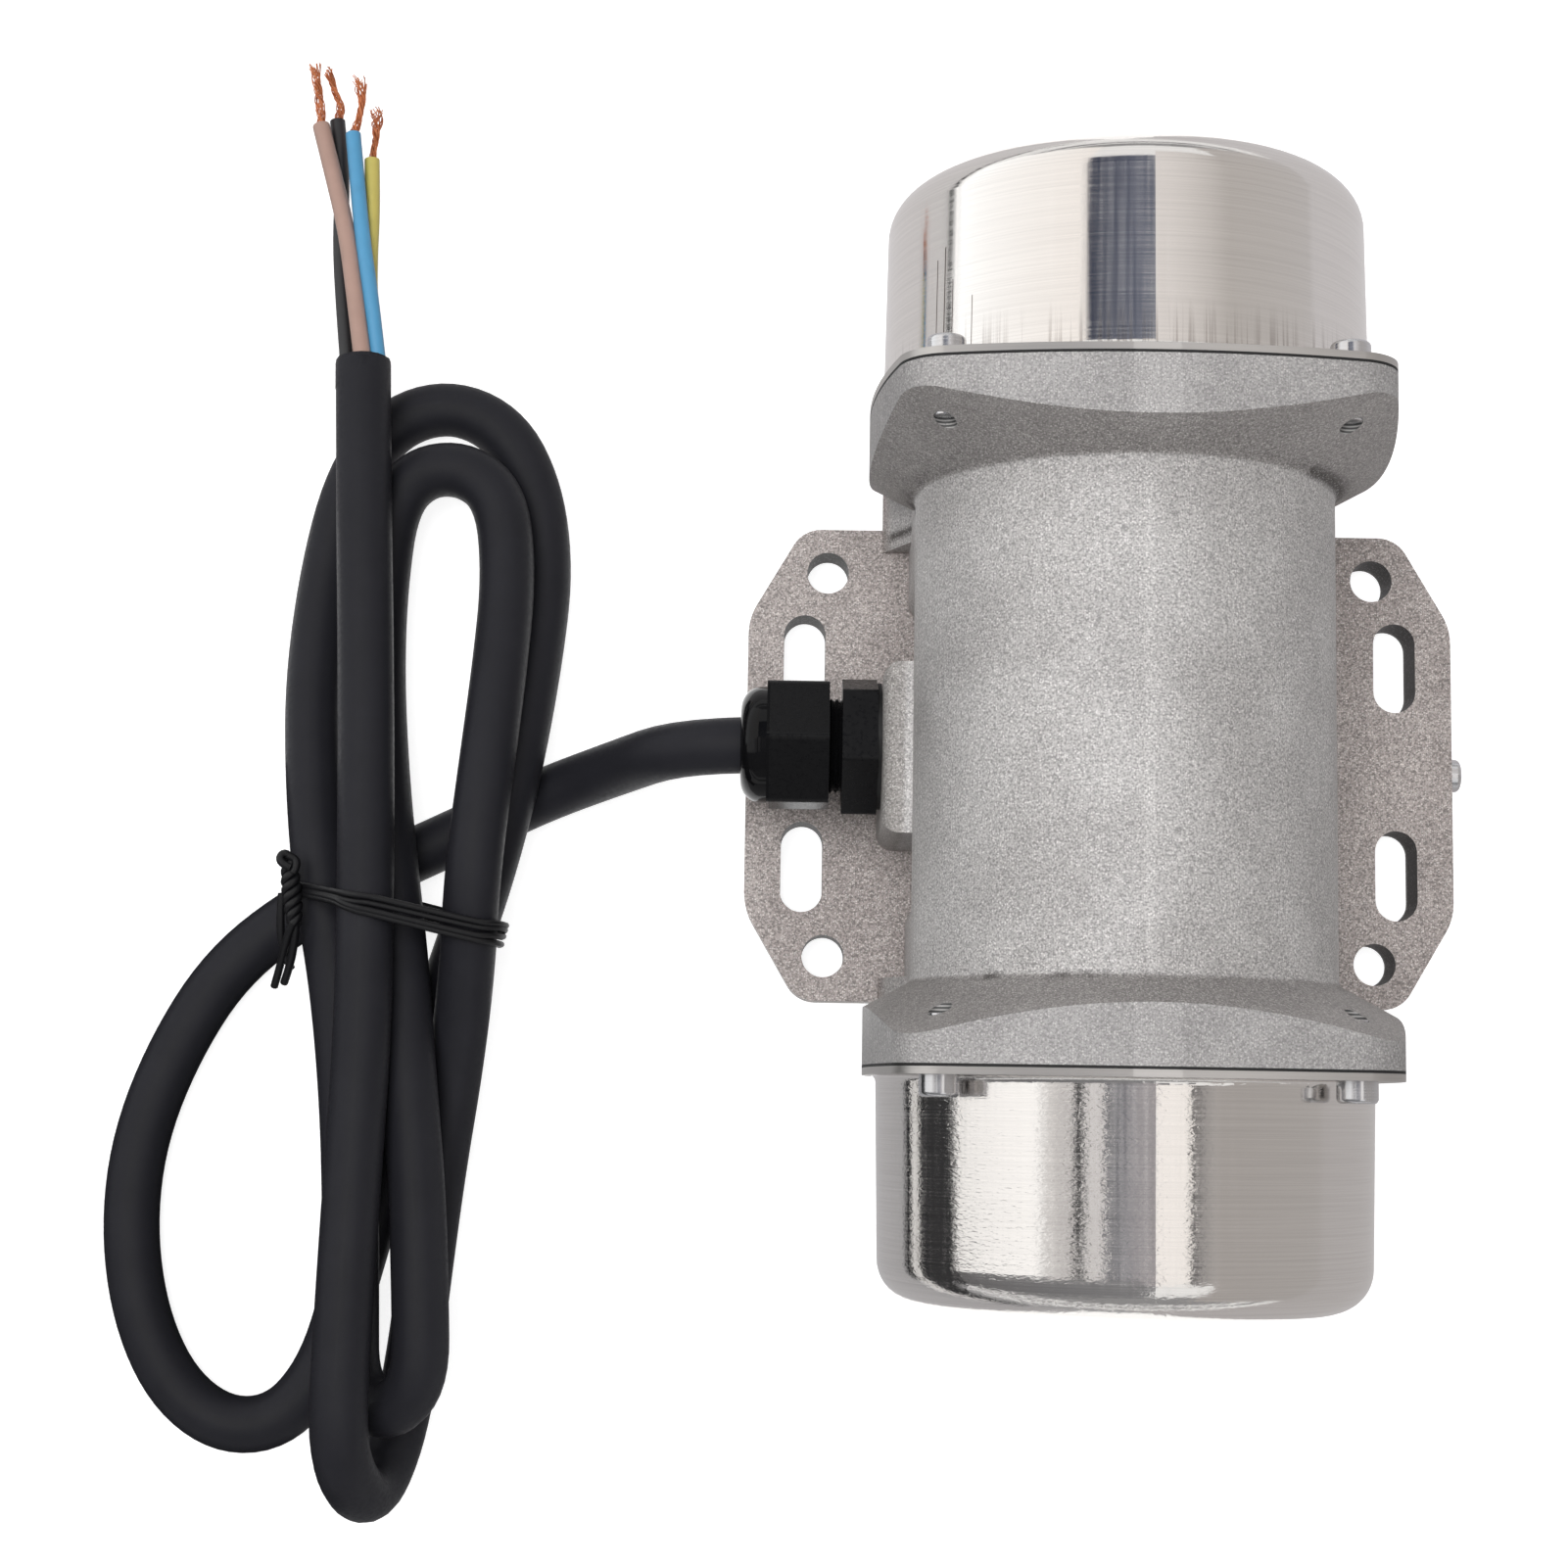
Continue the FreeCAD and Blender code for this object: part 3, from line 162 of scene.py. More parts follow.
print("node helpers are ready")

# %% The floor
FLOOR_HALF = 3
FLOOR_GLOW = 0.84
FLOOR_COLOUR = (0.5, 0.5, 0.5)
FLOOR_ROUGHNESS = 0.9


def background_rays(tree):
    """One for the rays that show the background: those of the camera, mirrors and glass."""
    rays = add_node(tree, "LightPath").outputs
    seen = math_node(tree, "MAXIMUM", rays["Is Camera Ray"], rays["Is Glossy Ray"])
    return math_node(tree, "MAXIMUM", seen, rays["Is Transmission Ray"])


def floor_material():
    """Pale floor that shows as white and keeps soft shadows."""
    made, tree, shader = new_material("pale_floor", Base_Color=FLOOR_COLOUR,
                                      Roughness=FLOOR_ROUGHNESS)
    glow = add_node(tree, "Emission", [("Color", background_rays(tree))], Strength=FLOOR_GLOW)
    both = add_node(tree, "AddShader", [(0, shader.outputs[0]), (1, glow.outputs[0])])
    tree.links.new(both.outputs[0], tree.nodes["Material Output"].inputs["Surface"])
    return made


floor = card("floor", (-FLOOR_HALF, 0), (FLOOR_HALF, 0), (-FLOOR_HALF, FLOOR_HALF))
floor.data.materials.append(floor_material())
print("floor", 2 * FLOOR_HALF, "m across")

# %% [markdown]
# ## The room and its lamps
#
# The room is an even grey that fills the shadows, and it shows as white behind the object in
# the same way as the floor. A large softbox overhead gives the barrel its broad soft highlight,
# and a weak one on the left lights the side of the cable.

# %% The room
ROOM_LEVEL = 0.33
world = bpy.data.worlds.new("studio")
scene.world = world
world.use_nodes = True
sky = world.node_tree.nodes["Background"]
sky.inputs["Color"].default_value = (1, 1, 1, 1)
sky_level = add_node(world.node_tree, "MapRange",
                     [("Value", background_rays(world.node_tree))], To_Min=ROOM_LEVEL)
world.node_tree.links.new(sky_level.outputs["Result"], sky.inputs["Strength"])
print("room level", ROOM_LEVEL)

# %% Lamps
LAMP_AIM = Vector((0, 0, 0.03))
LAMPS = [
    # name, place and width in metres, power in watts
    ("overhead_softbox", (-0.22, 0.05, 1.2), 0.7, 10.5),
    ("left_softbox", (-1.0, 0.2, 0.7), 0.5, 0.5),
]


def lamp(name, place, width, power):
    """A square softbox that faces the motor."""
    data = bpy.data.lights.new(name, "AREA")
    data.size = width
    data.energy = power
    made = bpy.data.objects.new(name, data)
    made.location = place
    made.rotation_euler = (Vector(place) - LAMP_AIM).to_track_quat("Z", "Y").to_euler()
    bpy.context.collection.objects.link(made)


for name, place, width, power in LAMPS:
    lamp(name, place, width, power)
print(len(LAMPS), "lamps")

# %% [markdown]
# ## Cards for the covers to mirror
#
# A polished cup shows a band for each thing that stands beside or over it. So each band is a
# flat card with an even glow that may shade from one edge to the other: bright panels, dark
# gaps between them, the table top, and dim ends beyond. A row of small cards in a table is
# easier to tune, one band at a time, than a painted picture of a room.


# %% Cards for the covers to mirror
def card_glow(name, near_colour, far_colour):
    """An even glow that shades from one edge of the card to the other."""
    made = bpy.data.materials.new(name)
    made.use_nodes = True
    tree = made.node_tree
    tree.nodes.clear()
    place = add_node(tree, "TexCoord").outputs["Generated"]
    across = add_node(tree, "SeparateXYZ", [("Vector", place)]).outputs["X"]
    glow = add_node(tree, "Emission",
                    [("Color", mix_colour(tree, across, near_colour, far_colour))])
    add_node(tree, "OutputMaterial", [("Surface", glow.outputs[0])])
    return made


WHITE, BRIGHT, WARM = (1.42, 1.46, 1.48), (1.12, 1.08, 1.05), (0.46, 0.435, 0.42)
DARK_BLUE, SLATE = (0.040, 0.048, 0.080), (0.135, 0.15, 0.205)
SOOT, SHADE, DIM = (0.04, 0.04, 0.042), (0.14, 0.137, 0.14), (0.33, 0.33, 0.335)
TABLE, SAND = (0.66, 0.64, 0.65), (0.56, 0.53, 0.51)
REAR, FRONT = (0.12, 0.60), (-0.35, 0.12)
FAR_REAR, FAR_FRONT = (0.03, 1.8), (-1.4, 0.03)
OVER, TOP = 0.75, 0.001
CARDS = [
    # name, (x, z) of one edge, (x, z) of the other, y range, colour at each edge
    ("rear_bright", (-1.60, 0.0), (-0.31, 0.78), FAR_REAR, WHITE, (1.10, 1.05, 1.01)),
    ("rear_dark", (-0.31, OVER), (0.045, OVER), REAR, DARK_BLUE, SLATE),
    ("rear_edge", (0.045, OVER), (0.10, OVER), REAR, SLATE, (0.80, 0.79, 0.79)),
    ("rear_pale", (0.10, 0.76), (0.65, 0.76), (0.03, 0.9), (0.90, 0.86, 0.84), SAND),
    ("rear_warm", (0.65, 0.76), (1.6, 0.02), FAR_REAR, SAND, (0.59, 0.57, 0.57)),
    ("rear_line", (-0.62, 0.002), (-0.37, 0.002), (-0.05, 3.0), SOOT, SOOT),
    ("table_left", (-0.37, TOP), (-0.036, TOP), (0.04, 0.9),
     (0.69, 0.68, 0.68), (0.71, 0.69, 0.70)),
    ("table_right", (0.036, TOP), (2.9, TOP), (0.0, 2.9), TABLE, TABLE),
    ("front_right", (0.036, TOP), (2.9, TOP), (-2.9, 0.0), (0.52, 0.50, 0.50), WARM),
    ("front_bright", (-1.60, 0.05), (-0.66, 0.72), (-0.24, 0.03),
     (1.05, 1.04, 1.03), (1.25, 1.24, 1.23)),
    ("front_deep", (-1.64, 0.05), (0.10, 0.80), (-1.0, -0.24), SHADE, (0.25, 0.25, 0.26)),
    ("front_table", (-0.12, TOP), (-0.036, TOP), (-0.4, -0.04),
     (0.42, 0.42, 0.43), (0.50, 0.49, 0.50)),
    ("front_stripe", (-0.088, 0.0215), (-0.088, 0.0305), (-0.2, -0.045),
     (0.85, 0.84, 0.83), (0.80, 0.79, 0.78)),
    ("front_floor", (-2.9, TOP), (0.036, TOP), (-2.9, -0.4),
     (0.40, 0.40, 0.41), (0.42, 0.42, 0.43)),
    ("front_grey", (-0.64, OVER), (-0.38, OVER), FRONT, (0.85, 0.83, 0.82), (0.58, 0.56, 0.56)),
    ("front_line", (-0.38, OVER), (-0.31, OVER), FRONT, SOOT, SOOT),
    ("front_pale", (-0.31, OVER), (-0.185, OVER), FRONT, (0.72, 0.70, 0.70), (0.66, 0.64, 0.64)),
    ("front_dark", (-0.185, OVER), (-0.10, OVER), FRONT, (0.10, 0.10, 0.115), (0.16, 0.16, 0.18)),
    ("front_slate", (-0.10, OVER), (0.115, OVER), FRONT, (0.20, 0.20, 0.225), (0.46, 0.43, 0.44)),
    ("front_glint", (0.115, OVER), (0.305, OVER), FRONT, BRIGHT, BRIGHT),
    ("front_gap", (0.305, OVER), (0.37, OVER), FRONT, SHADE, (0.22, 0.21, 0.21)),
    ("front_dusk", (0.37, OVER), (0.51, OVER), FRONT, (0.38, 0.365, 0.36), (0.50, 0.475, 0.46)),
    ("front_warm", (0.51, OVER), (1.5, 0.02), FAR_FRONT, WARM, (0.48, 0.46, 0.45)),
    ("front_horizon", (-0.9, 0.0), (-0.9, 0.085), (-0.6, 0.03), SOOT, SOOT),
    ("front_low", (-0.9, 0.002), (-0.12, 0.002), (-0.4, 0.0), SOOT, SOOT),
    ("front_end", (-2.9, 0.80), (2.9, 0.80), (-2.9, -1.0), DIM, DIM),
    ("front_skirt", (-2.9, 0.30), (2.9, 0.30), (-2.9, -1.45), DIM, DIM),
    ("rear_end", (-2.9, 0.80), (2.9, 0.80), (1.8, 2.9), DIM, DIM),
    ("rear_skirt", (-2.9, 0.45), (2.9, 0.45), (1.85, 2.9), DIM, DIM),
]


def mirror_only(made):
    """Leaves a card to the reflections alone."""
    made.visible_camera = False
    made.visible_diffuse = False
    made.visible_shadow = False
    made.visible_transmission = False


for name, start, end, y_range, low_colour, high_colour in CARDS:
    made_card = card(name, start, end, y_range)
    made_card.data.materials.append(card_glow(name, low_colour, high_colour))
    mirror_only(made_card)
print(len(CARDS), "cards")

# %% [markdown]
# ## Effects that several finishes share
#
# Each effect is a node group with named sockets, built once: grain, brushing round the shaft's
# axis, scattered specks, the walls of bored holes, and ripple. A group gives only masks and
# heights, so each material keeps its own Principled shader.


# %% Build a node group
def start_group(name, inputs, outputs):
    """An empty shader group of number sockets, with a default for each input."""
    group = bpy.data.node_groups.new(name, "ShaderNodeTree")
    for title, default in inputs.items():
        socket = group.interface.new_socket(title, in_out="INPUT", socket_type="NodeSocketFloat")
        socket.default_value = default
    for title in outputs:
        group.interface.new_socket(title, in_out="OUTPUT", socket_type="NodeSocketFloat")
    group_in = group.nodes.new("NodeGroupInput")
    group_out = group.nodes.new("NodeGroupOutput")
    return group, group_in, group_out


def ramp(tree, source, stops):
    """A colour ramp between two stops, each a place and a grey or a colour."""
    node = add_node(tree, "ValToRGB", [("Fac", source)])
    for element, (place, colour) in zip(node.color_ramp.elements, stops):
        element.position = place
        element.color = (*colour, 1) if isinstance(colour, tuple) else (colour, colour, colour, 1)
    return node.outputs["Color"]


def object_place(tree):
    return add_node(tree, "TexCoord").outputs["Object"]


def squeezed_place(tree, waves):
    """The place on the piece, scaled by its own number along each axis."""
    return add_node(tree, "Mapping", [("Vector", object_place(tree))], Scale=waves).outputs[0]


def noise(tree, place, scale, detail, roughness, distortion=0.0):
    """Noise at a place, as fine as the scale socket says."""
    node = add_node(tree, "TexNoise", [("Vector", place), ("Scale", scale)], Detail=detail,
                    Roughness=roughness, Distortion=distortion)
    return node.outputs["Fac"]


print("group helpers are ready")

# %% [markdown]
# ### Grain
#
# Grit leaves a casting full of tiny pits, and some grains catch the light. Noise makes the
# pits and a cell texture picks the grains, which the casting gets as painted glints. Rubber and
# plastic use the same group, finer.


# %% Grain: the fine pits of a blasted surface, and the grains that get painted glints
def grain_group():
    group, start, end = start_group(
        "Grain", {"Scale": 4200.0, "Mottle Scale": 90.0, "Grit": 0.5},
        ["Fine", "Sparkle", "Mottle", "Height"])
    place = object_place(group)
    fine = noise(group, place, start.outputs["Scale"], 2.0, 0.6)
    grit = add_node(group, "TexVoronoi", [("Vector", place), ("Scale", start.outputs["Scale"])])
    point = ramp(group, grit.outputs["Distance"], [(0.15, 1.0), (0.55, 0.0)])
    tint = add_node(group, "SeparateColor", [("Color", grit.outputs["Color"])])
    chosen = math_node(group, "LESS_THAN", tint.outputs["Red"], start.outputs["Grit"])
    bright = math_node(group, "MULTIPLY", point, chosen)
    mottle = noise(group, place, start.outputs["Mottle Scale"], 4.0, 0.55)
    for title, source in (("Fine", fine), ("Sparkle", bright), ("Mottle", mottle),
                          ("Height", math_node(group, "ADD", fine, bright))):
        group.links.new(source, end.inputs[title])
    return group


GRAIN = grain_group()
print(GRAIN.name, "has", len(GRAIN.nodes), "nodes")

# %% [markdown]
# ### Brushing
#
# A cup is polished on a lathe, so its streaks run round the shaft, and drawing leaves a few
# marks along it. Both are noise that is squeezed one way: many waves to a metre across the
# streaks and few along them.

# %% Brushing: streaks round the shaft and faint drawing marks along it
ROUND_WAVES = (30, 4200, 30)
ALONG_WAVES = (1500, 12, 1500)


def brushing_group():
    group, start, end = start_group("Brushing", {"Round Scale": 1.0, "Along Scale": 1.0},
                                    ["Round", "Along"])
    round_streaks = noise(group, squeezed_place(group, ROUND_WAVES),
                          start.outputs["Round Scale"], 3.0, 0.6)
    along_marks = noise(group, squeezed_place(group, ALONG_WAVES),
                        start.outputs["Along Scale"], 2.0, 0.5)
    group.links.new(round_streaks, end.inputs["Round"])
    group.links.new(along_marks, end.inputs["Along"])
    return group


BRUSHING = brushing_group()
print(BRUSHING.name, "has", len(BRUSHING.nodes), "nodes")

# %% [markdown]
# ### Specks
#
# Dust on rubber and pits in a casting are small dots at random. Each cell of a cell texture
# has a random colour, so a threshold on that colour keeps only some of the dots.

# %% Specks: scattered dust or pits
SPECK_REACH = 0.16


def specks_group():
    group, start, end = start_group("Specks", {"Scale": 500.0, "Amount": 0.1}, ["Mask"])
    cells = add_node(group, "TexVoronoi", [("Vector", object_place(group)),
                                           ("Scale", start.outputs["Scale"])])
    near_centre = math_node(group, "LESS_THAN", cells.outputs["Distance"], SPECK_REACH)
    keep = math_node(group, "LESS_THAN", cells.outputs["Color"], start.outputs["Amount"])
    group.links.new(math_node(group, "MULTIPLY", near_centre, keep), end.inputs["Mask"])
    return group


SPECKS = specks_group()
print(SPECKS.name, "has", len(SPECKS.nodes), "nodes")

# %% [markdown]
# ### Bores
#
# The walls of drilled holes get painted shade, darker than the skin of a casting. The holes
# are mirrored about the middle, so the group folds the part over both its axes and asks how far
# a point is from one hole's centre line. A slot is a hole whose centre is a short straight line.


# %% Bores: the walls of a mirrored set of round holes or slots
def bores_group():
    group, start, end = start_group(
        "Bores", {"Across": 0.0, "Along": 0.0, "Centre Across": 0.04, "Centre Along": 0.03,
                  "Half Straight": 0.0, "Radius": 0.003}, ["Mask"])
    sides = []
    for title in ("Across", "Along"):
        folded = math_node(group, "ABSOLUTE", start.outputs[title])
        sides.append(math_node(group, "SUBTRACT", folded, start.outputs["Centre " + title]))
    across, along = sides
    past_straight = math_node(group, "SUBTRACT", math_node(group, "ABSOLUTE", along),
                              start.outputs["Half Straight"])
    flat = add_node(group, "CombineXYZ", [("X", across),
                                          ("Y", math_node(group, "MAXIMUM", past_straight, 0))])
    reach = add_node(group, "VectorMath", [(0, flat.outputs[0])], operation="LENGTH")
    mask = math_node(group, "LESS_THAN", reach.outputs["Value"], start.outputs["Radius"])
    group.links.new(mask, end.inputs["Mask"])
    return group


BORES = bores_group()
print(BORES.name, "has", len(BORES.nodes), "nodes")

# %% [markdown]
# ### Ripple
#
# A cup that was polished by hand has a fine unevenness that breaks up the edges of what it
# mirrors. Noise gives its height, shorter along the shaft than round it.

# %% Ripple: short wrinkles that run round a hand-polished cup
RIPPLE_WAVES = (1000, 2500, 1000)


def ripple_group():
    group, start, end = start_group("Ripple", {"Scale": 1.0}, ["Height"])
    waves = noise(group, squeezed_place(group, RIPPLE_WAVES), start.outputs["Scale"], 2.0, 0.5,
                  0.6)
    group.links.new(waves, end.inputs["Height"])
    return group


RIPPLE = ripple_group()
print("groups:", [group.name for group in bpy.data.node_groups])

# %% [markdown]
# ## Materials
#
# Each finish is one Principled shader. Values that are the same all over are set on its
# sockets, and those that change over the surface come from the groups.

# %% Use the effects in a material
def use_group(tree, group, **values):
    """Places a group in a material with its own values."""
    node = tree.nodes.new("ShaderNodeGroup")
    node.node_tree = group
    for key, value in values.items():
        node.inputs[key.replace("_", " ")].default_value = value
    return node


def spread(tree, source, low, high, from_low=0.0, from_high=1.0):
    """Maps a mask onto a range of values."""
    node = add_node(tree, "MapRange", [("Value", source)], From_Min=from_low, From_Max=from_high,
                    To_Min=low, To_Max=high)
    return node.outputs["Result"]


def smooth_step(tree, source, low, high):
    """0 below one value and 1 above another, with a soft change between them."""
    node = add_node(tree, "MapRange", [("Value", source)], interpolation_type="SMOOTHSTEP",
                    From_Min=low, From_Max=high)
    return node.outputs["Result"]


def tone(colour, level):
    """A lighter or darker tone of a colour."""
    return tuple(level * part for part in colour)


def feed(tree, node, **sources):
    """Links sources to a node's sockets by name."""
    for key, source in sources.items():
        tree.links.new(source, node.inputs[key.replace("_", " ")])


def bump(tree, shader, height, strength, distance_mm):
    node = add_node(tree, "Bump", [("Height", height)], Strength=strength,
                    Distance=distance_mm * MM)
    feed(tree, shader, Normal=node.outputs[0])


print("material helpers are ready")

# %% [markdown]
# ## The casting
#
# The housing is cast aluminium, blasted with grit and left bare: a dull grey full of tiny
# pits and grains, with painted glints on some grains. The foot plate is darker and a little
# pinkish, partly its own tone and partly painted shade under the barrel. The cones at the
# backs of the flanges face into the barrel and are darkened by painted shade, and the flanges
# themselves are a darker grey. The zones are painted by their place on the part, with soft
# borders, because a vertex group can't be added to its mesh.

# %% Zones of the casting, by height and place along the shaft
FOOT_TOP = 8 * MM
CONE_START = 35 * MM
FLANGE_START = 41 * MM
BOSS_START, BOSS_END = 30.8 * MM, 15 * MM
SHAFT_HEIGHT = 38 * MM


def shaft_place(tree):
    """The place as x, y and z, and the distance from the middle along the shaft."""
    place = add_node(tree, "SeparateXYZ", [("Vector", object_place(tree))]).outputs
    return place["X"], place["Y"], place["Z"], math_node(tree, "ABSOLUTE", place["Y"])


def cone_shade_mask(tree, y, from_middle):
    """One on the cones behind the flanges, which face the middle of the barrel and get painted
    shade.
    """
    normal = add_node(tree, "NewGeometry").outputs["Normal"]
    facing = add_node(tree, "SeparateXYZ", [("Vector", normal)])
    inward = math_node(tree, "MULTIPLY", math_node(tree, "SIGN", y), facing.outputs["Y"])
    turned = math_node(tree, "SUBTRACT", 1.0, smooth_step(tree, inward, -0.75, -0.35))
    return math_node(tree, "MULTIPLY", turned,
                     smooth_step(tree, from_middle, CONE_START - 0.5 * MM, CONE_START))


def boss_mask(tree, x, from_middle):
    """One on the gland boss, which stands out beside the barrel."""
    beside = math_node(tree, "ABSOLUTE", x)
    return math_node(tree, "MULTIPLY", smooth_step(tree, beside, BOSS_START, BOSS_START + MM),
                     math_node(tree, "LESS_THAN", from_middle, BOSS_END))


print("flanges from", FLANGE_START, "m, foot below", FOOT_TOP, "m")

# %% Greys of the zones
# the plate's own warmer tone, darkened too by painted shade under the barrel
PLATE_GREY_AND_SHADE = ((0.375, 0.33, 0.314), (0.45, 0.402, 0.383))
BARREL_GREY = ((0.50, 0.483, 0.475), (0.59, 0.573, 0.565))
# painted shade for the cones, which face into the barrel
CONE_SHADE_GREY = ((0.36, 0.34, 0.33), (0.43, 0.408, 0.398))
FLANGE_GREY = ((0.37, 0.358, 0.355), (0.44, 0.427, 0.423))
BOSS_GREY = (0.37, 0.35, 0.335)
# a dark grey for the pits, and painted shade along the crease where the cones meet the barrel
PITS_AND_CREASE_SHADE = (0.11, 0.10, 0.095)
CREVICES = [(0.36, 0.40), (0.60, 1.0)]
# the colour of the painted glints on the grains
GRAIN_GLINT_WHITE = (1, 0.98, 0.96)


def zoned_grey(tree, mottle, x, y, from_middle, on_body, on_flange):
    """A mottled grey for each zone: plate, barrel, flanges, cones and boss, with painted shade on
    the cones and partly on the plate.
    """
    mottle = smooth_step(tree, mottle, 0.35, 0.65)
    plate, barrel, cone_shade, flange = [mix_colour(tree, mottle, *pair) for pair in
                                   (PLATE_GREY_AND_SHADE, BARREL_GREY, CONE_SHADE_GREY, FLANGE_GREY)]
    # the plate grey holds painted shade under the barrel as well as its own tone
    body = mix_colour(tree, on_body, plate, mix_colour(tree, on_flange, barrel, flange))
    # painted shade on the cones, chosen by which way their faces turn
    body = mix_colour(tree, cone_shade_mask(tree, y, from_middle), body, cone_shade)
    on_boss = math_node(tree, "MULTIPLY", boss_mask(tree, x, from_middle), on_body)
    return mix_colour(tree, on_boss, body, BOSS_GREY)


def edge_crease_shade(tree, mottle, from_middle):
    """Patches of painted shade along the crease where the cones meet the barrel."""
    off_edge = math_node(tree, "ABSOLUTE", math_node(tree, "SUBTRACT", from_middle,
                                                     CONE_START + 0.3 * MM))
    return math_node(tree, "MULTIPLY", spread(tree, off_edge, 1.0, 0.0, 0.2 * MM, 1.1 * MM),
                     smooth_step(tree, mottle, 0.50, 0.62))


def gritty(tree, body, grain, on_body, on_flange):
    """Dark crevices between the grains and painted glints on them, strongest on the plate."""
    coarse = math_node(tree, "SUBTRACT", spread(tree, on_body, 1.0, 0.85),
                       spread(tree, on_flange, 0.0, 0.22))
    body = mix_colour(tree, coarse, body, ramp(tree, grain["Fine"], CREVICES), "MULTIPLY")
    # painted glints: bright points added to the colour of some grains
    points = math_node(tree, "MULTIPLY", spread(tree, coarse, 0.20, 0.32, 0.6, 1.0),
                       grain["Sparkle"])
    body = mix_colour(tree, points, body, GRAIN_GLINT_WHITE, "ADD")
    pits = use_group(tree, SPECKS, Scale=230.0, Amount=0.05)
    return mix_colour(tree, pits.outputs["Mask"], body, PITS_AND_CREASE_SHADE)


print("barrel", BARREL_GREY[0], "to", BARREL_GREY[1])

# %% Cast aluminium, with its holes
FOOT_HOLE = dict(Centre_Across=42.5 * MM, Centre_Along=30 * MM, Radius=3.4 * MM)
FOOT_SLOT = dict(Centre_Across=46 * MM, Centre_Along=16.25 * MM, Half_Straight=3.75 * MM,
                 Radius=3.4 * MM)
SCREW_HOLE = dict(Centre_Across=27.5 * MM, Centre_Along=27.5 * MM, Radius=1.62 * MM)
# painted shade for the walls of the fixing holes
BORE_SHADE = (0.021, 0.018, 0.0165)
THREAD_PITCH = 0.5 * MM
# painted shade and highlight for the turns of thread in the tapped holes
THREAD_SHADE_AND_HIGHLIGHT = ((0.07, 0.07, 0.07), (0.42, 0.41, 0.40))
METAL_SHARE = 0.28


def bore_mask(tree, across, along, hole):
    """One on the walls of a set of holes."""
    walls = use_group(tree, BORES, **hole)
    feed(tree, walls, Across=across, Along=along)
    return walls.outputs["Mask"]


def cast_aluminium():
    made, tree, shader = new_material("cast_aluminium")
    grain = use_group(tree, GRAIN, Scale=3200.0, Mottle_Scale=70.0, Grit=0.45).outputs
    x, y, z, from_middle = shaft_place(tree)
    on_body = smooth_step(tree, z, FOOT_TOP, FOOT_TOP + 3 * MM)
    on_flange = smooth_step(tree, from_middle, CONE_START, FLANGE_START)
    body = zoned_grey(tree, grain["Mottle"], x, y, from_middle, on_body, on_flange)
    # painted shade in patches along the crease where the cones meet the barrel
    crease_shade = math_node(tree, "MULTIPLY", edge_crease_shade(tree, grain["Mottle"], from_middle), on_body)
    body = gritty(tree, mix_colour(tree, crease_shade, body, PITS_AND_CREASE_SHADE), grain, on_body, on_flange)
    # painted shade on the walls of the fixing holes
    below_top = math_node(tree, "LESS_THAN", z, FOOT_TOP - 0.1 * MM)
    metal = METAL_SHARE
    for hole in (FOOT_HOLE, FOOT_SLOT):
        inside = math_node(tree, "MULTIPLY", below_top, bore_mask(tree, x, y, hole))
        body = mix_colour(tree, inside, body, BORE_SHADE)
        metal = math_node(tree, "MAXIMUM", metal, inside)
    # painted shade and highlight for the turns of thread in the tapped holes
    height = math_node(tree, "SUBTRACT", z, SHAFT_HEIGHT)
    wave = math_node(tree, "SINE", math_node(tree, "MULTIPLY", y, math.tau / THREAD_PITCH))
    painted_thread = mix_colour(tree, spread(tree, wave, 0.0, 1.0, -0.4, 1.0), *THREAD_SHADE_AND_HIGHLIGHT)
    in_flange = math_node(tree, "GREATER_THAN", from_middle, FLANGE_START - 2 * MM)
    tapped = math_node(tree, "MULTIPLY", bore_mask(tree, x, height, SCREW_HOLE), in_flange)
    feed(tree, shader, Base_Color=mix_colour(tree, tapped, body, painted_thread), Metallic=metal,
         Roughness=spread(tree, grain["Sparkle"], 0.55, 0.32))
    bump(tree, shader, grain["Height"], 0.42, 0.06)
    return made


print("two sets of fixing holes and one of screw holes")

# %% [markdown]
# ## Stainless covers and bright screws
#
# The covers are drawn from sheet and polished, then brushed lightly by hand, so they mirror
# the room in long bands with fine streaks across them. Brushing shows mostly as changes in
# roughness, with only a trace of height.

# %% Brushed and polished steel
def brushed(tree, colour, smoothest, roughest):
    """Brushing, with the colour and the roughness that its streaks give."""
    brushing = use_group(tree, BRUSHING).outputs
    base = ramp(tree, brushing["Round"], [(0.3, tone(colour, 0.90)), (0.7, colour)])
    streaks = math_node(tree, "MULTIPLY", brushing["Round"], brushing["Along"])
    return brushing, base, spread(tree, streaks, smoothest, roughest, 0.12, 0.42)


def bright_steel(name, colour, smoothest, roughest):
    made, tree, shader = new_material(name, Metallic=1.0)
    brushing, base, roughness = brushed(tree, colour, smoothest, roughest)
    feed(tree, shader, Base_Color=base, Roughness=roughness)
    bump(tree, shader, brushing["Round"], 0.15, 0.02)
    return made


print("steel is brushed with", BRUSHING.name)

# %% [markdown]
# ### Marks on the covers
#
# The rear cover is smooth, with drawing marks at its root and four scratches beside a screw.
# The front one is rippled by hand polishing. Both are masks by place, so one material does
# for the two covers.

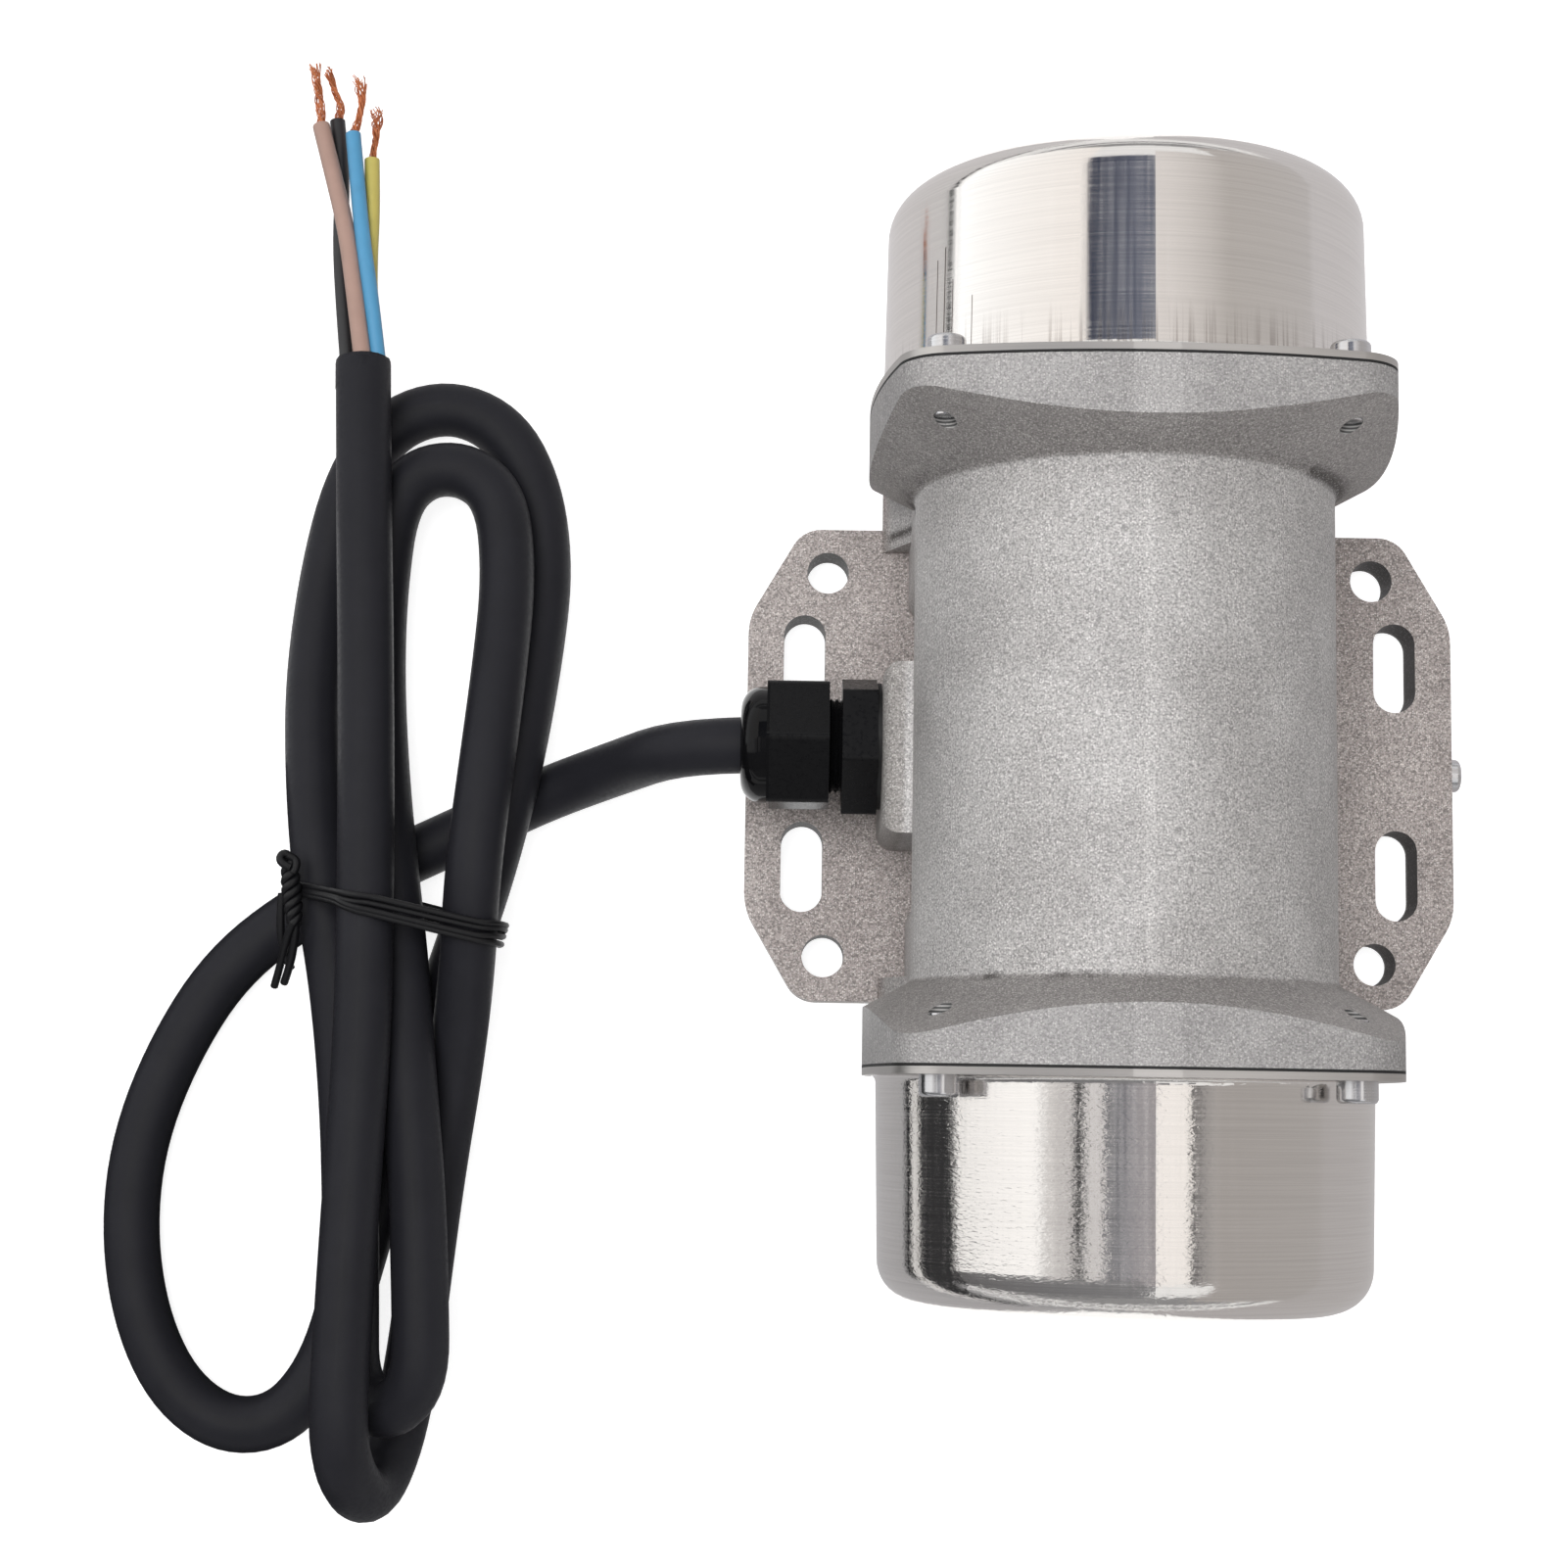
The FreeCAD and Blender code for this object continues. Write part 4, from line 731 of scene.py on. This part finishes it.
# %% Drawn covers: smooth at the rear, rippled at the front, with marks at the root
CUP_ROOT = 48.4 * MM
CUP_SIDE = 33.5 * MM
MARK_REACH = 8 * MM
RIM_DEPTH = 0.05 * MM
RIM_ROUGHNESS = 0.42
RIPPLE_FADE = 16 * MM
COVER_GREY = (0.80, 0.775, 0.75)
MARK_TINT, RIM_TINT = (0.55, 0.53, 0.52), (0.62, 0.62, 0.62)
SCRATCH_COLOUR = (0.16, 0.13, 0.12)
SCRATCHES = [
    # degrees round the shaft, half the width and the far end in millimetres
    (-54.6, 0.09, 64.5), (-51.9, 0.10, 66), (-49.2, 0.08, 61), (-43.2, 0.07, 58)]


def scratched(tree, base, x, y, z, rear):
    """Straight scratches beside one screw, at set places across the rear cup."""
    turn = math_node(tree, "ARCTAN2", x, math_node(tree, "SUBTRACT", z, SHAFT_HEIGHT))
    for angle, half_width, end in SCRATCHES:
        aside = math_node(tree, "ABSOLUTE", math_node(tree, "SUBTRACT", turn,
                                                      math.radians(angle)))
        line = math_node(tree, "LESS_THAN", aside, half_width * MM / CUP_SIDE)
        short = math_node(tree, "LESS_THAN", y, end * MM)
        mask = math_node(tree, "MULTIPLY", math_node(tree, "MULTIPLY", line, short), rear)
        base = mix_colour(tree, mask, base, SCRATCH_COLOUR)
    return base


def cover_stainless():
    made, tree, shader = new_material("cover_stainless", Metallic=1.0)
    brushing, base, polish = brushed(tree, COVER_GREY, 0.05, 0.20)
    x, y, z, from_middle = shaft_place(tree)
    front = math_node(tree, "LESS_THAN", y, 0.0)
    rim = math_node(tree, "LESS_THAN", from_middle, CUP_ROOT + RIM_DEPTH)
    rear = math_node(tree, "SUBTRACT", 1.0, math_node(tree, "MAXIMUM", front, rim))
    # drawing marks rise from the root of the cup and fade out within a few millimetres
    near_root = math_node(tree, "SUBTRACT", 1.0,
                          smooth_step(tree, from_middle, CUP_ROOT, CUP_ROOT + MARK_REACH))
    marks = math_node(tree, "MULTIPLY", math_node(tree, "MULTIPLY", near_root, rear),
                      smooth_step(tree, brushing["Along"], 0.50, 0.66))
    base = mix_colour(tree, spread(tree, marks, 0.0, 0.75), base, MARK_TINT, "MULTIPLY")
    base = mix_colour(tree, rim, base, RIM_TINT, "MULTIPLY")
    roughness = math_node(tree, "MAXIMUM", polish,
                          math_node(tree, "MULTIPLY", rim, RIM_ROUGHNESS))
    feed(tree, shader, Base_Color=scratched(tree, base, x, y, z, rear), Roughness=roughness)
    # the ripple lies over the brushing and fades to the right across the front cup
    fine = add_node(tree, "Bump", [("Height", brushing["Round"])], Strength=0.10,
                    Distance=0.02 * MM)
    fade = spread(tree, smooth_step(tree, x, 0.0, RIPPLE_FADE), 1.0, 0.15)
    level = spread(tree, math_node(tree, "MULTIPLY", front, fade), 0.02, 0.42)
    ripple = use_group(tree, RIPPLE).outputs["Height"]
    waves = add_node(tree, "Bump", [("Height", ripple), ("Strength", level),
                                    ("Normal", fine.outputs[0])], Distance=0.07 * MM)
    feed(tree, shader, Normal=waves.outputs[0])
    return made


print(len(SCRATCHES), "scratches on the rear cover")

# %% [markdown]
# ## Nylon, rubber, core insulation and plain metals
#
# The gland is moulded nylon: satin on the hexagons, glossy on the dome. The cable's rubber is
# almost black and matt, with pale dust on it. Insulation, copper and the steel inside are
# even finishes, so one function with its own colours and grain makes them all.

# %% Moulded and drawn plastics
DUST = (0.30, 0.30, 0.31)


def soft_black(name, colour, roughness, dust, shine=0.3, glossy_beyond=None):
    """Black rubber or nylon, a little uneven, with dust on it."""
    made, tree, shader = new_material(name, Specular_IOR_Level=shine, IOR=1.4)
    grain = use_group(tree, GRAIN, Scale=1500.0, Mottle_Scale=130.0).outputs
    body = mix_colour(tree, grain["Mottle"], colour, tone(colour, 1.5))
    if dust:
        specks = use_group(tree, SPECKS, Scale=420.0, Amount=dust)
        body = mix_colour(tree, specks.outputs["Mask"], body, DUST)
    matt = spread(tree, grain["Fine"], roughness - 0.07, roughness + 0.09, 0.3, 0.7)
    if glossy_beyond:
        dome = math_node(tree, "LESS_THAN", shaft_place(tree)[0], glossy_beyond)
        matt = math_node(tree, "MULTIPLY", matt, spread(tree, dome, 1.0, 0.25))
    feed(tree, shader, Base_Color=body, Roughness=matt)
    bump(tree, shader, grain["Fine"], 0.10, 0.02)
    return made


print("dust", DUST)

# %% Insulation, copper and plain metals
def even_finish(name, dark, pale, smoothest, roughest, scale, mottle_scale, **values):
    """Mottle between two tones, with a roughness that follows the grain."""
    made, tree, shader = new_material(name, **values)
    grain = use_group(tree, GRAIN, Scale=scale, Mottle_Scale=mottle_scale).outputs
    feed(tree, shader, Base_Color=mix_colour(tree, grain["Mottle"], dark, pale),
         Roughness=spread(tree, grain["Fine"], smoothest, roughest))
    return made, tree, shader, grain


def core_plastic(name, colour):
    """Smooth core insulation with a faint milky unevenness."""
    made, tree, shader, grain = even_finish(name, tone(colour, 0.88), tone(colour, 1.12),
                                            0.36, 0.50, 900.0, 240.0)
    bump(tree, shader, grain["Fine"], 0.06, 0.02)
    return made


def copper():
    return even_finish("bare_copper", (0.38, 0.10, 0.035), (0.93, 0.40, 0.20), 0.22, 0.42,
                       1800.0, 500.0, Metallic=1.0)[0]


def plain_metal(name, colour, roughness, scale=900.0):
    """Turned or stamped steel for the pieces inside the covers."""
    return even_finish(name, tone(colour, 0.8), colour, roughness - 0.08, roughness + 0.1,
                       scale, 120.0, Metallic=1.0)[0]


print("plastics and metals are ready")

# %% [markdown]
# ## Dress the model
#
# The record names a finish for each node, so one table of finishes dresses the whole model.
# The pieces inside get plain metals, since they show only when a cover is off.

# %% Give every node its finish
FINISHES = {
    "cast_aluminium": cast_aluminium(),
    "cover_stainless": cover_stainless(),
    "screw_steel": bright_steel("screw_steel", (0.63, 0.63, 0.64), 0.14, 0.30),
    "gland_nylon": soft_black("gland_nylon", (0.004, 0.004, 0.0045), 0.30, 0, 0.24, -51 * MM),
    "gasket_rubber": soft_black("gasket_rubber", (0.015, 0.015, 0.015), 0.6, 0),
    "cable_rubber": soft_black("cable_rubber", (0.014, 0.014, 0.0175), 0.45, 0.07, 0.20),
    "core_brown": core_plastic("core_brown", (0.43, 0.275, 0.225)),
    "core_black": core_plastic("core_black", (0.012, 0.012, 0.014)),
    "core_blue": core_plastic("core_blue", (0.085, 0.33, 0.57)),
    "core_green_yellow": core_plastic("core_green_yellow", (0.58, 0.49, 0.12)),
    "core_copper": copper(),
    "tie_plastic": soft_black("tie_plastic", (0.006, 0.006, 0.007), 0.40, 0, 0.4),
    "shaft_steel": plain_metal("shaft_steel", (0.60, 0.60, 0.61), 0.28),
    "bearing_steel": plain_metal("bearing_steel", (0.68, 0.68, 0.70), 0.18),
    "weight_steel": plain_metal("weight_steel", (0.40, 0.40, 0.42), 0.42),
    "lamination_steel": plain_metal("lamination_steel", (0.28, 0.28, 0.31), 0.5, 3200.0),
    "cage_aluminium": plain_metal("cage_aluminium", (0.64, 0.64, 0.65), 0.4),
    "winding_copper": plain_metal("winding_copper", (0.60, 0.26, 0.12), 0.35, 2600.0),
}
slot_of = {part["node"]: part["material_slot"] for part in frame["record"]["subparts"]}
for node_name, node_object in nodes.items():
    finish = FINISHES[slot_of[node_name]]
    node_object.data.materials.clear()
    node_object.data.materials.append(finish)
print(len(FINISHES), "finishes on", len(nodes), "nodes")

# %% [markdown]
# ## The cable
#
# The cable is about a metre of 8.5 mm four-core rubber cable. It comes straight out of the
# gland, drops to the floor, and is folded into a loose hank with one large side loop. A NURBS
# curve of order 3 turns a given list of points into one smooth line, which a bare
# polyline or a Bezier with automatic handles would not keep as even.

# %% Route of the cable, in millimetres
CABLE_DIAMETER = 8.5 * MM
CABLE_ROUTE = [
    (-50, 0.4, 25), (-63.5, 0.4, 25), (-76, -2, 10), (-87, -5.5, 4.4), (-98, -11, 4.3),
    (-110.5, -17, 4.3), (-124, -24, 4.3), (-135, -33, 4.3), (-142.5, -45.5, 4.3),
    (-147.5, -59.5, 4.3), (-148.5, -73.5, 4.3), (-146, -87, 4.3), (-140.5, -97.5, 4.3),
    (-132.5, -103, 4.3), (-124, -102, 4.3), (-117.5, -94, 4.3), (-114, -81, 4.3),
    (-110, -65.5, 4.3), (-104.5, -48, 4.6), (-98.5, -31.5, 8.8), (-93.5, -17.5, 14),
    (-90, -1.5, 12.9), (-88, 16.5, 6.5), (-87, 31, 4.3), (-89, 43.5, 4.3), (-94, 53, 4.3),
    (-102.5, 57, 4.3), (-111.5, 54.5, 4.3), (-118, 46, 4.3), (-121.5, 32, 4.3),
    (-123, 12.5, 7), (-121.5, -5, 11), (-119, -21, 14.6), (-116, -36.5, 13.6),
    (-114, -54, 13), (-113, -70.5, 13), (-112.5, -84, 13.2), (-112, -95.5, 14),
    (-106, -99.5, 17.6), (-100.5, -94, 21.2), (-101, -82, 21.3), (-102, -67, 20.5),
    (-104, -49.5, 20.4), (-106, -33.5, 16.8), (-108.5, -18.5, 14.4), (-111, -3, 10.5),
    (-112.5, 12.5, 8.5), (-112.5, 26.5, 8.5), (-111, 40, 9.2), (-106, 45, 10.2),
    (-99, 45, 11), (-93.5, 40, 12), (-92, 27.5, 13.2), (-92.5, 13, 17.2), (-93.5, -2.5, 21.6),
    (-95, -19, 23.2), (-96, -33.5, 17.6), (-98, -48, 12.2), (-100.5, -63, 8.8),
    (-102.5, -78, 5.5), (-104, -92.5, 4.5), (-106.5, -107, 5.8), (-109, -112.5, 16),
    (-111.5, -104.5, 26.3), (-111.5, -92, 27), (-111, -68.5, 25.9), (-110, -41.5, 26.0),
    (-111, -15, 23.4), (-112.5, 10.5, 19.6), (-114, 37, 17.8), (-115.5, 61, 14.5),
]


# %% Draw a smooth round line through control points
def smooth_lines(name, routes, radius, roundness, smoothness):
    """One curve object with a NURBS spline for each route, given in millimetres."""
    curve = bpy.data.curves.new(name, "CURVE")
    curve.dimensions = "3D"
    curve.bevel_depth = radius
    curve.bevel_resolution = roundness
    curve.resolution_u = smoothness
    curve.use_fill_caps = True
    for route in routes:
        spline = curve.splines.new("NURBS")
        spline.points.add(len(route) - 1)
        for point, place in zip(spline.points, route):
            point.co = (*(Vector(place) * MM), 1)
        spline.order_u = 3
        spline.use_endpoint_u = True
    made = bpy.data.objects.new(name, curve)
    bpy.context.collection.objects.link(made)
    return made


def finish_piece(made, finish):
    """Gives a new piece its finish and lets it ride on the housing."""
    made.data.materials.clear()
    made.data.materials.append(FINISHES[finish])
    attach(made, "housing")
    return made


cable = smooth_lines("supply_cable", [CABLE_ROUTE], CABLE_DIAMETER / 2, 8, 6)
finish_piece(cable, "cable_rubber")
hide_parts("cable")
print("cable drawn with", len(CABLE_ROUTE), "points")

# %% [markdown]
# ## The bared end
#
# The jacket is stripped back about 40 mm. Four cores fan out of it and each ends in a few
# millimetres of twisted copper strands whose tips splay a little.

# %% Cores
CORES = {
    # piece: finish, radius in millimetres, route
    "core_brown": ("core_brown", 1.38, [(-115.1, 60, 16.9), (-117.1, 71.9, 15.1),
                                        (-119.2, 83, 13.0), (-121.9, 92.3, 11.0),
                                        (-124.5, 101.1, 9.1)]),
    "core_black": ("core_black", 1.22, [(-117.9, 60.4, 14.4), (-119.6, 72.6, 12),
                                        (-120.7, 82.8, 9.9), (-120.9, 93.1, 8),
                                        (-122.3, 102.7, 7)]),
    "core_blue": ("core_blue", 1.22, [(-112.9, 60.3, 15.7), (-114.6, 71.7, 15.1),
                                      (-116.4, 80.7, 13.7), (-117.8, 90.2, 12),
                                      (-119.1, 99.3, 10.5)]),
    "core_earth": ("core_green_yellow", 1.22, [(-113.9, 60.3, 13.1), (-115.2, 71, 12.2),
                                               (-115.6, 79.6, 11.0), (-115.6, 87, 10.2),
                                               (-116.2, 95.6, 9)]),
}
for name, (finish, radius, route) in CORES.items():
    core = smooth_lines(name + "_insulation", [route], radius * MM, 5, 5)
    finish_piece(core, finish)
    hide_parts(name)

# %% Copper strands
COPPER_LINES = {
    # path from the end of the core to the tip, and how far the tip is frayed
    "core_brown": ([(-124.5, 100.9, 9.1), (-124.8, 104.3, 8.7), (-125.5, 108.0, 8.3),
                    (-126.3, 111.8, 8.0)], 2.3),
    "core_black": ([(-122.3, 102.5, 7.0), (-121.8, 105.0, 6.8), (-123.2, 108.4, 6.6),
                    (-124.3, 111.7, 6.5)], 1.15),
    "core_blue": ([(-119.1, 99.1, 10.5), (-118.2, 102.3, 10.2), (-118.0, 105.4, 9.8),
                   (-118.7, 109.1, 9.5)], 1.7),
    "core_earth": ([(-116.2, 95.4, 9.0), (-115.8, 98.8, 8.7), (-115.8, 101.7, 8.4),
                    (-115.8, 104.5, 8.1)], 1.8),
}
STRAND_RADIUS = 0.085 * MM
BUNDLE_RADIUS = 0.74
STRAND_COUNT = 19
STRAND_STEPS = 11
TWIST_TURNS = 1.25
GOLDEN_ANGLE = 2.399963


def along_points(points, share):
    """A place on a broken line by share of its points."""
    spot = share * (len(points) - 1)
    index = min(int(spot), len(points) - 2)
    return Vector(points[index]).lerp(Vector(points[index + 1]), spot - index)


def strand_routes(line, fray, seed):
    """Twisted strands along a bent line, bulging in the middle and frayed at the tip."""
    along = (Vector(line[-1]) - Vector(line[0])).normalized()
    side = along.cross(Vector((0, 0, 1))).normalized()
    up = side.cross(along).normalized()
    routes = []
    for index in range(STRAND_COUNT):
        ring_share = math.sqrt((index + 0.5) / STRAND_COUNT)
        phase = index * GOLDEN_ANGLE + seed
        length_share = 0.95 + 0.05 * math.sin(phase * 7)
        route = []
        for step in range(STRAND_STEPS):
            share = step / (STRAND_STEPS - 1)
            angle = phase + share * TWIST_TURNS * math.tau + 0.35 * math.sin(share * 6 + index)
            loose = max(0, share - 0.55) / 0.45
            flare = 1 + (fray - 1) * loose * (0.4 + 0.6 * math.sin(phase * 3) ** 2)
            bulge = 0.95 + 0.22 * math.sin(share * 5.5 + seed)
            reach = BUNDLE_RADIUS * ring_share * flare * bulge
            route.append(along_points(line, share * length_share)
                         + side * (reach * math.cos(angle)) + up * (reach * math.sin(angle)))
        routes.append(route)
    return routes


for seed, (name, (line, fray)) in enumerate(COPPER_LINES.items()):
    bundle = smooth_lines(name + "_strands", strand_routes(line, fray, seed), STRAND_RADIUS, 1, 2)
    finish_piece(bundle, "core_copper")
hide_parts("core_copper")

# %% [markdown]
# ## The cut end of the jacket
#
# The jacket was cut by hand, so its end is a little slanted and ragged. A short sleeve with an
# uneven end, a hair wider than the cable, shows the cut without touching the route.

# %% Ragged jacket end
END_FROM, END_TO = Vector((-115.28, 56.6, 14.95)), Vector((-115.5, 61.15, 14.47))
SLEEVE_SIDES = 40
SLEEVE_OUTSIDE, SLEEVE_LIP, SLEEVE_INSIDE = 4.29, 4.22, 3.95


def ragged_sleeve():
    along = (END_TO - END_FROM).normalized()
    side = along.cross(Vector((0, 0, 1))).normalized()
    up = side.cross(along).normalized()
    # radius in millimetres, place along the sleeve, and how ragged the ring is
    rings = [(SLEEVE_OUTSIDE, 0.0, 0.0), (SLEEVE_OUTSIDE, 0.88, 0.0), (SLEEVE_LIP, 1.0, 1.0),
             (SLEEVE_INSIDE, 0.98, 1.0), (SLEEVE_INSIDE, 0.60, 0.0)]
    corners, faces = [], []
    for reach, share, raggedness in rings:
        for index in range(SLEEVE_SIDES):
            angle = math.tau * index / SLEEVE_SIDES
            uneven = 0.22 * math.sin(angle * 3 + 1) + 0.13 * math.sin(angle * 8) - 0.30
            spot = END_FROM.lerp(END_TO, share) + along * (uneven * raggedness)
            corners.append((spot + side * (reach * math.cos(angle))
                            + up * (reach * math.sin(angle))) * MM)
    for ring in range(len(rings) - 1):
        for index in range(SLEEVE_SIDES):
            following = (index + 1) % SLEEVE_SIDES
            faces.append((ring * SLEEVE_SIDES + index, ring * SLEEVE_SIDES + following,
                          (ring + 1) * SLEEVE_SIDES + following,
                          (ring + 1) * SLEEVE_SIDES + index))
    mesh = bpy.data.meshes.new("jacket_end")
    mesh.from_pydata(corners, [], faces)
    mesh.shade_smooth()
    made = bpy.data.objects.new("jacket_end", mesh)
    bpy.context.collection.objects.link(made)
    return finish_piece(made, "cable_rubber")


jacket_end = ragged_sleeve()
print("jacket end with", len(jacket_end.data.polygons), "faces")

# %% [markdown]
# ## The tie
#
# A plastic-covered tie wire holds the hank. It goes round four times, so four strands lie side
# by side over the cable and draw together at the left. Each strand is a curve that follows a
# taut line round the four outer runs of the cable.

# %% Loops round the hank
TIE_ORIGIN = Vector((-121.5, -23, 0))
TIE_ALONG = Vector((31, -7, 0)).normalized()
TIE_ACROSS = Vector((7, 31, 0)).normalized()
TIE_CORNERS = [(2.4, 14.4), (10.9, 24.6), (26.6, 20.1), (25, 9.6)]
TIE_REACH = 4.95
TIE_WIRE = 0.46 * MM
TIE_STRANDS = 4
KNOT_START = 4


def taut_line(reach, steps=6):
    """Places (u, z) on a taut line round circles at the corners, clockwise from the left."""
    line = []
    for index, corner in enumerate(TIE_CORNERS):
        before = Vector(corner) - Vector(TIE_CORNERS[index - 1])
        after = Vector(TIE_CORNERS[(index + 1) % len(TIE_CORNERS)]) - Vector(corner)
        first = math.atan2(before.x, -before.y)
        last = math.atan2(after.x, -after.y)
        while last > first:
            last -= math.tau
        for step in range(steps):
            angle = first + (last - first) * step / (steps - 1)
            line.append((corner[0] + reach * math.cos(angle), corner[1] + reach * math.sin(angle)))
    return line


def tie_place(u, z, v):
    return TIE_ORIGIN + TIE_ALONG * u + TIE_ACROSS * v + Vector((0, 0, z))


def tie_loop(index):
    """One strand, fanned out over the top and drawn together at the knot."""
    line = taut_line(TIE_REACH)
    line = line[KNOT_START:] + line[:KNOT_START]
    route = []
    for step, (u, z) in enumerate(line):
        share = step / (len(line) - 1)
        fan = 0.42 + 0.55 * math.sin(min(1.0, share * 1.7) * math.pi / 2)
        sway = 0.18 * math.sin(share * 9 + index * 1.9)
        middle = 1.4 - 0.9 * math.sin(min(1.0, share * 2.2) * math.pi) + 0.9 * share
        top = 0.25 * (index % 2) * max(0.0, math.sin(share * 2 * math.pi))
        v = middle + (index - (TIE_STRANDS - 1) / 2) * fan + sway
        route.append(tie_place(u, z + top, v))
    return route


print("taut line of", len(taut_line(TIE_REACH)), "places")

# %% [markdown]
# ### The knot
#
# The ends of the tie are twisted together and end in short tails. The twist is three strands
# wound round one line, widest in its middle, and each tail follows a few given points.

# %% Knot and tails
KNOT_TOP, KNOT_FOOT = Vector((-122.9, -17.4, 20.7)), Vector((-121.7, -27.2, 20.6))
KNOT_WIDTH = 1.05
KNOT_TURNS = 2.3
KNOT_STEPS = 19
KNOT_STRANDS = 3
KNOT_THICKNESS = 1.35
TAILS = [
    [(-122.4, -18.8, 21.7), (-123.4, -18.4, 21.8), (-124.2, -17.6, 21.6), (-123.8, -16.6, 21.2),
     (-122.9, -16.7, 21.0), (-122.3, -17.9, 20.8)],
    [(-122.0, -19.6, 21.7), (-121.4, -18.4, 21.6), (-121.9, -17.3, 21.2), (-123.1, -16.9, 21.6)],
    [(-121.7, -26.4, 21.0), (-123.0, -29.2, 19.8), (-124.5, -33.0, 15.6), (-125.9, -36.2, 12.8)],
    [(-121.5, -26.4, 20.4), (-121.9, -30.0, 19.0), (-123.0, -33.4, 16.4), (-124.2, -35.7, 14.0)],
    [(-123.8, -22.6, 20.4), (-124.2, -27.0, 19.4), (-123.9, -31.3, 17.2), (-122.9, -33.6, 15.6)],
]


def knot_strand(index):
    route = []
    for step in range(KNOT_STEPS):
        share = step / (KNOT_STEPS - 1)
        angle = math.tau * (share * KNOT_TURNS + index / KNOT_STRANDS)
        reach = KNOT_WIDTH * (0.55 + 0.45 * math.sin(share * math.pi))
        route.append(KNOT_TOP.lerp(KNOT_FOOT, share)
                     + Vector((reach * math.cos(angle), 0, reach * math.sin(angle))))
    return route


loops = [tie_loop(index) for index in range(TIE_STRANDS)]
knot = [knot_strand(index) for index in range(KNOT_STRANDS)]
tie = smooth_lines("tie_wire", loops, TIE_WIRE, 3, 3)
finish_piece(tie, "tie_plastic")
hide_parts("cable_tie")
tie_knot = smooth_lines("tie_knot", knot + TAILS, KNOT_THICKNESS * TIE_WIRE, 3, 3)
finish_piece(tie_knot, "tie_plastic")
print("tie of", len(loops), "loops and a knot of", len(knot), "strands")
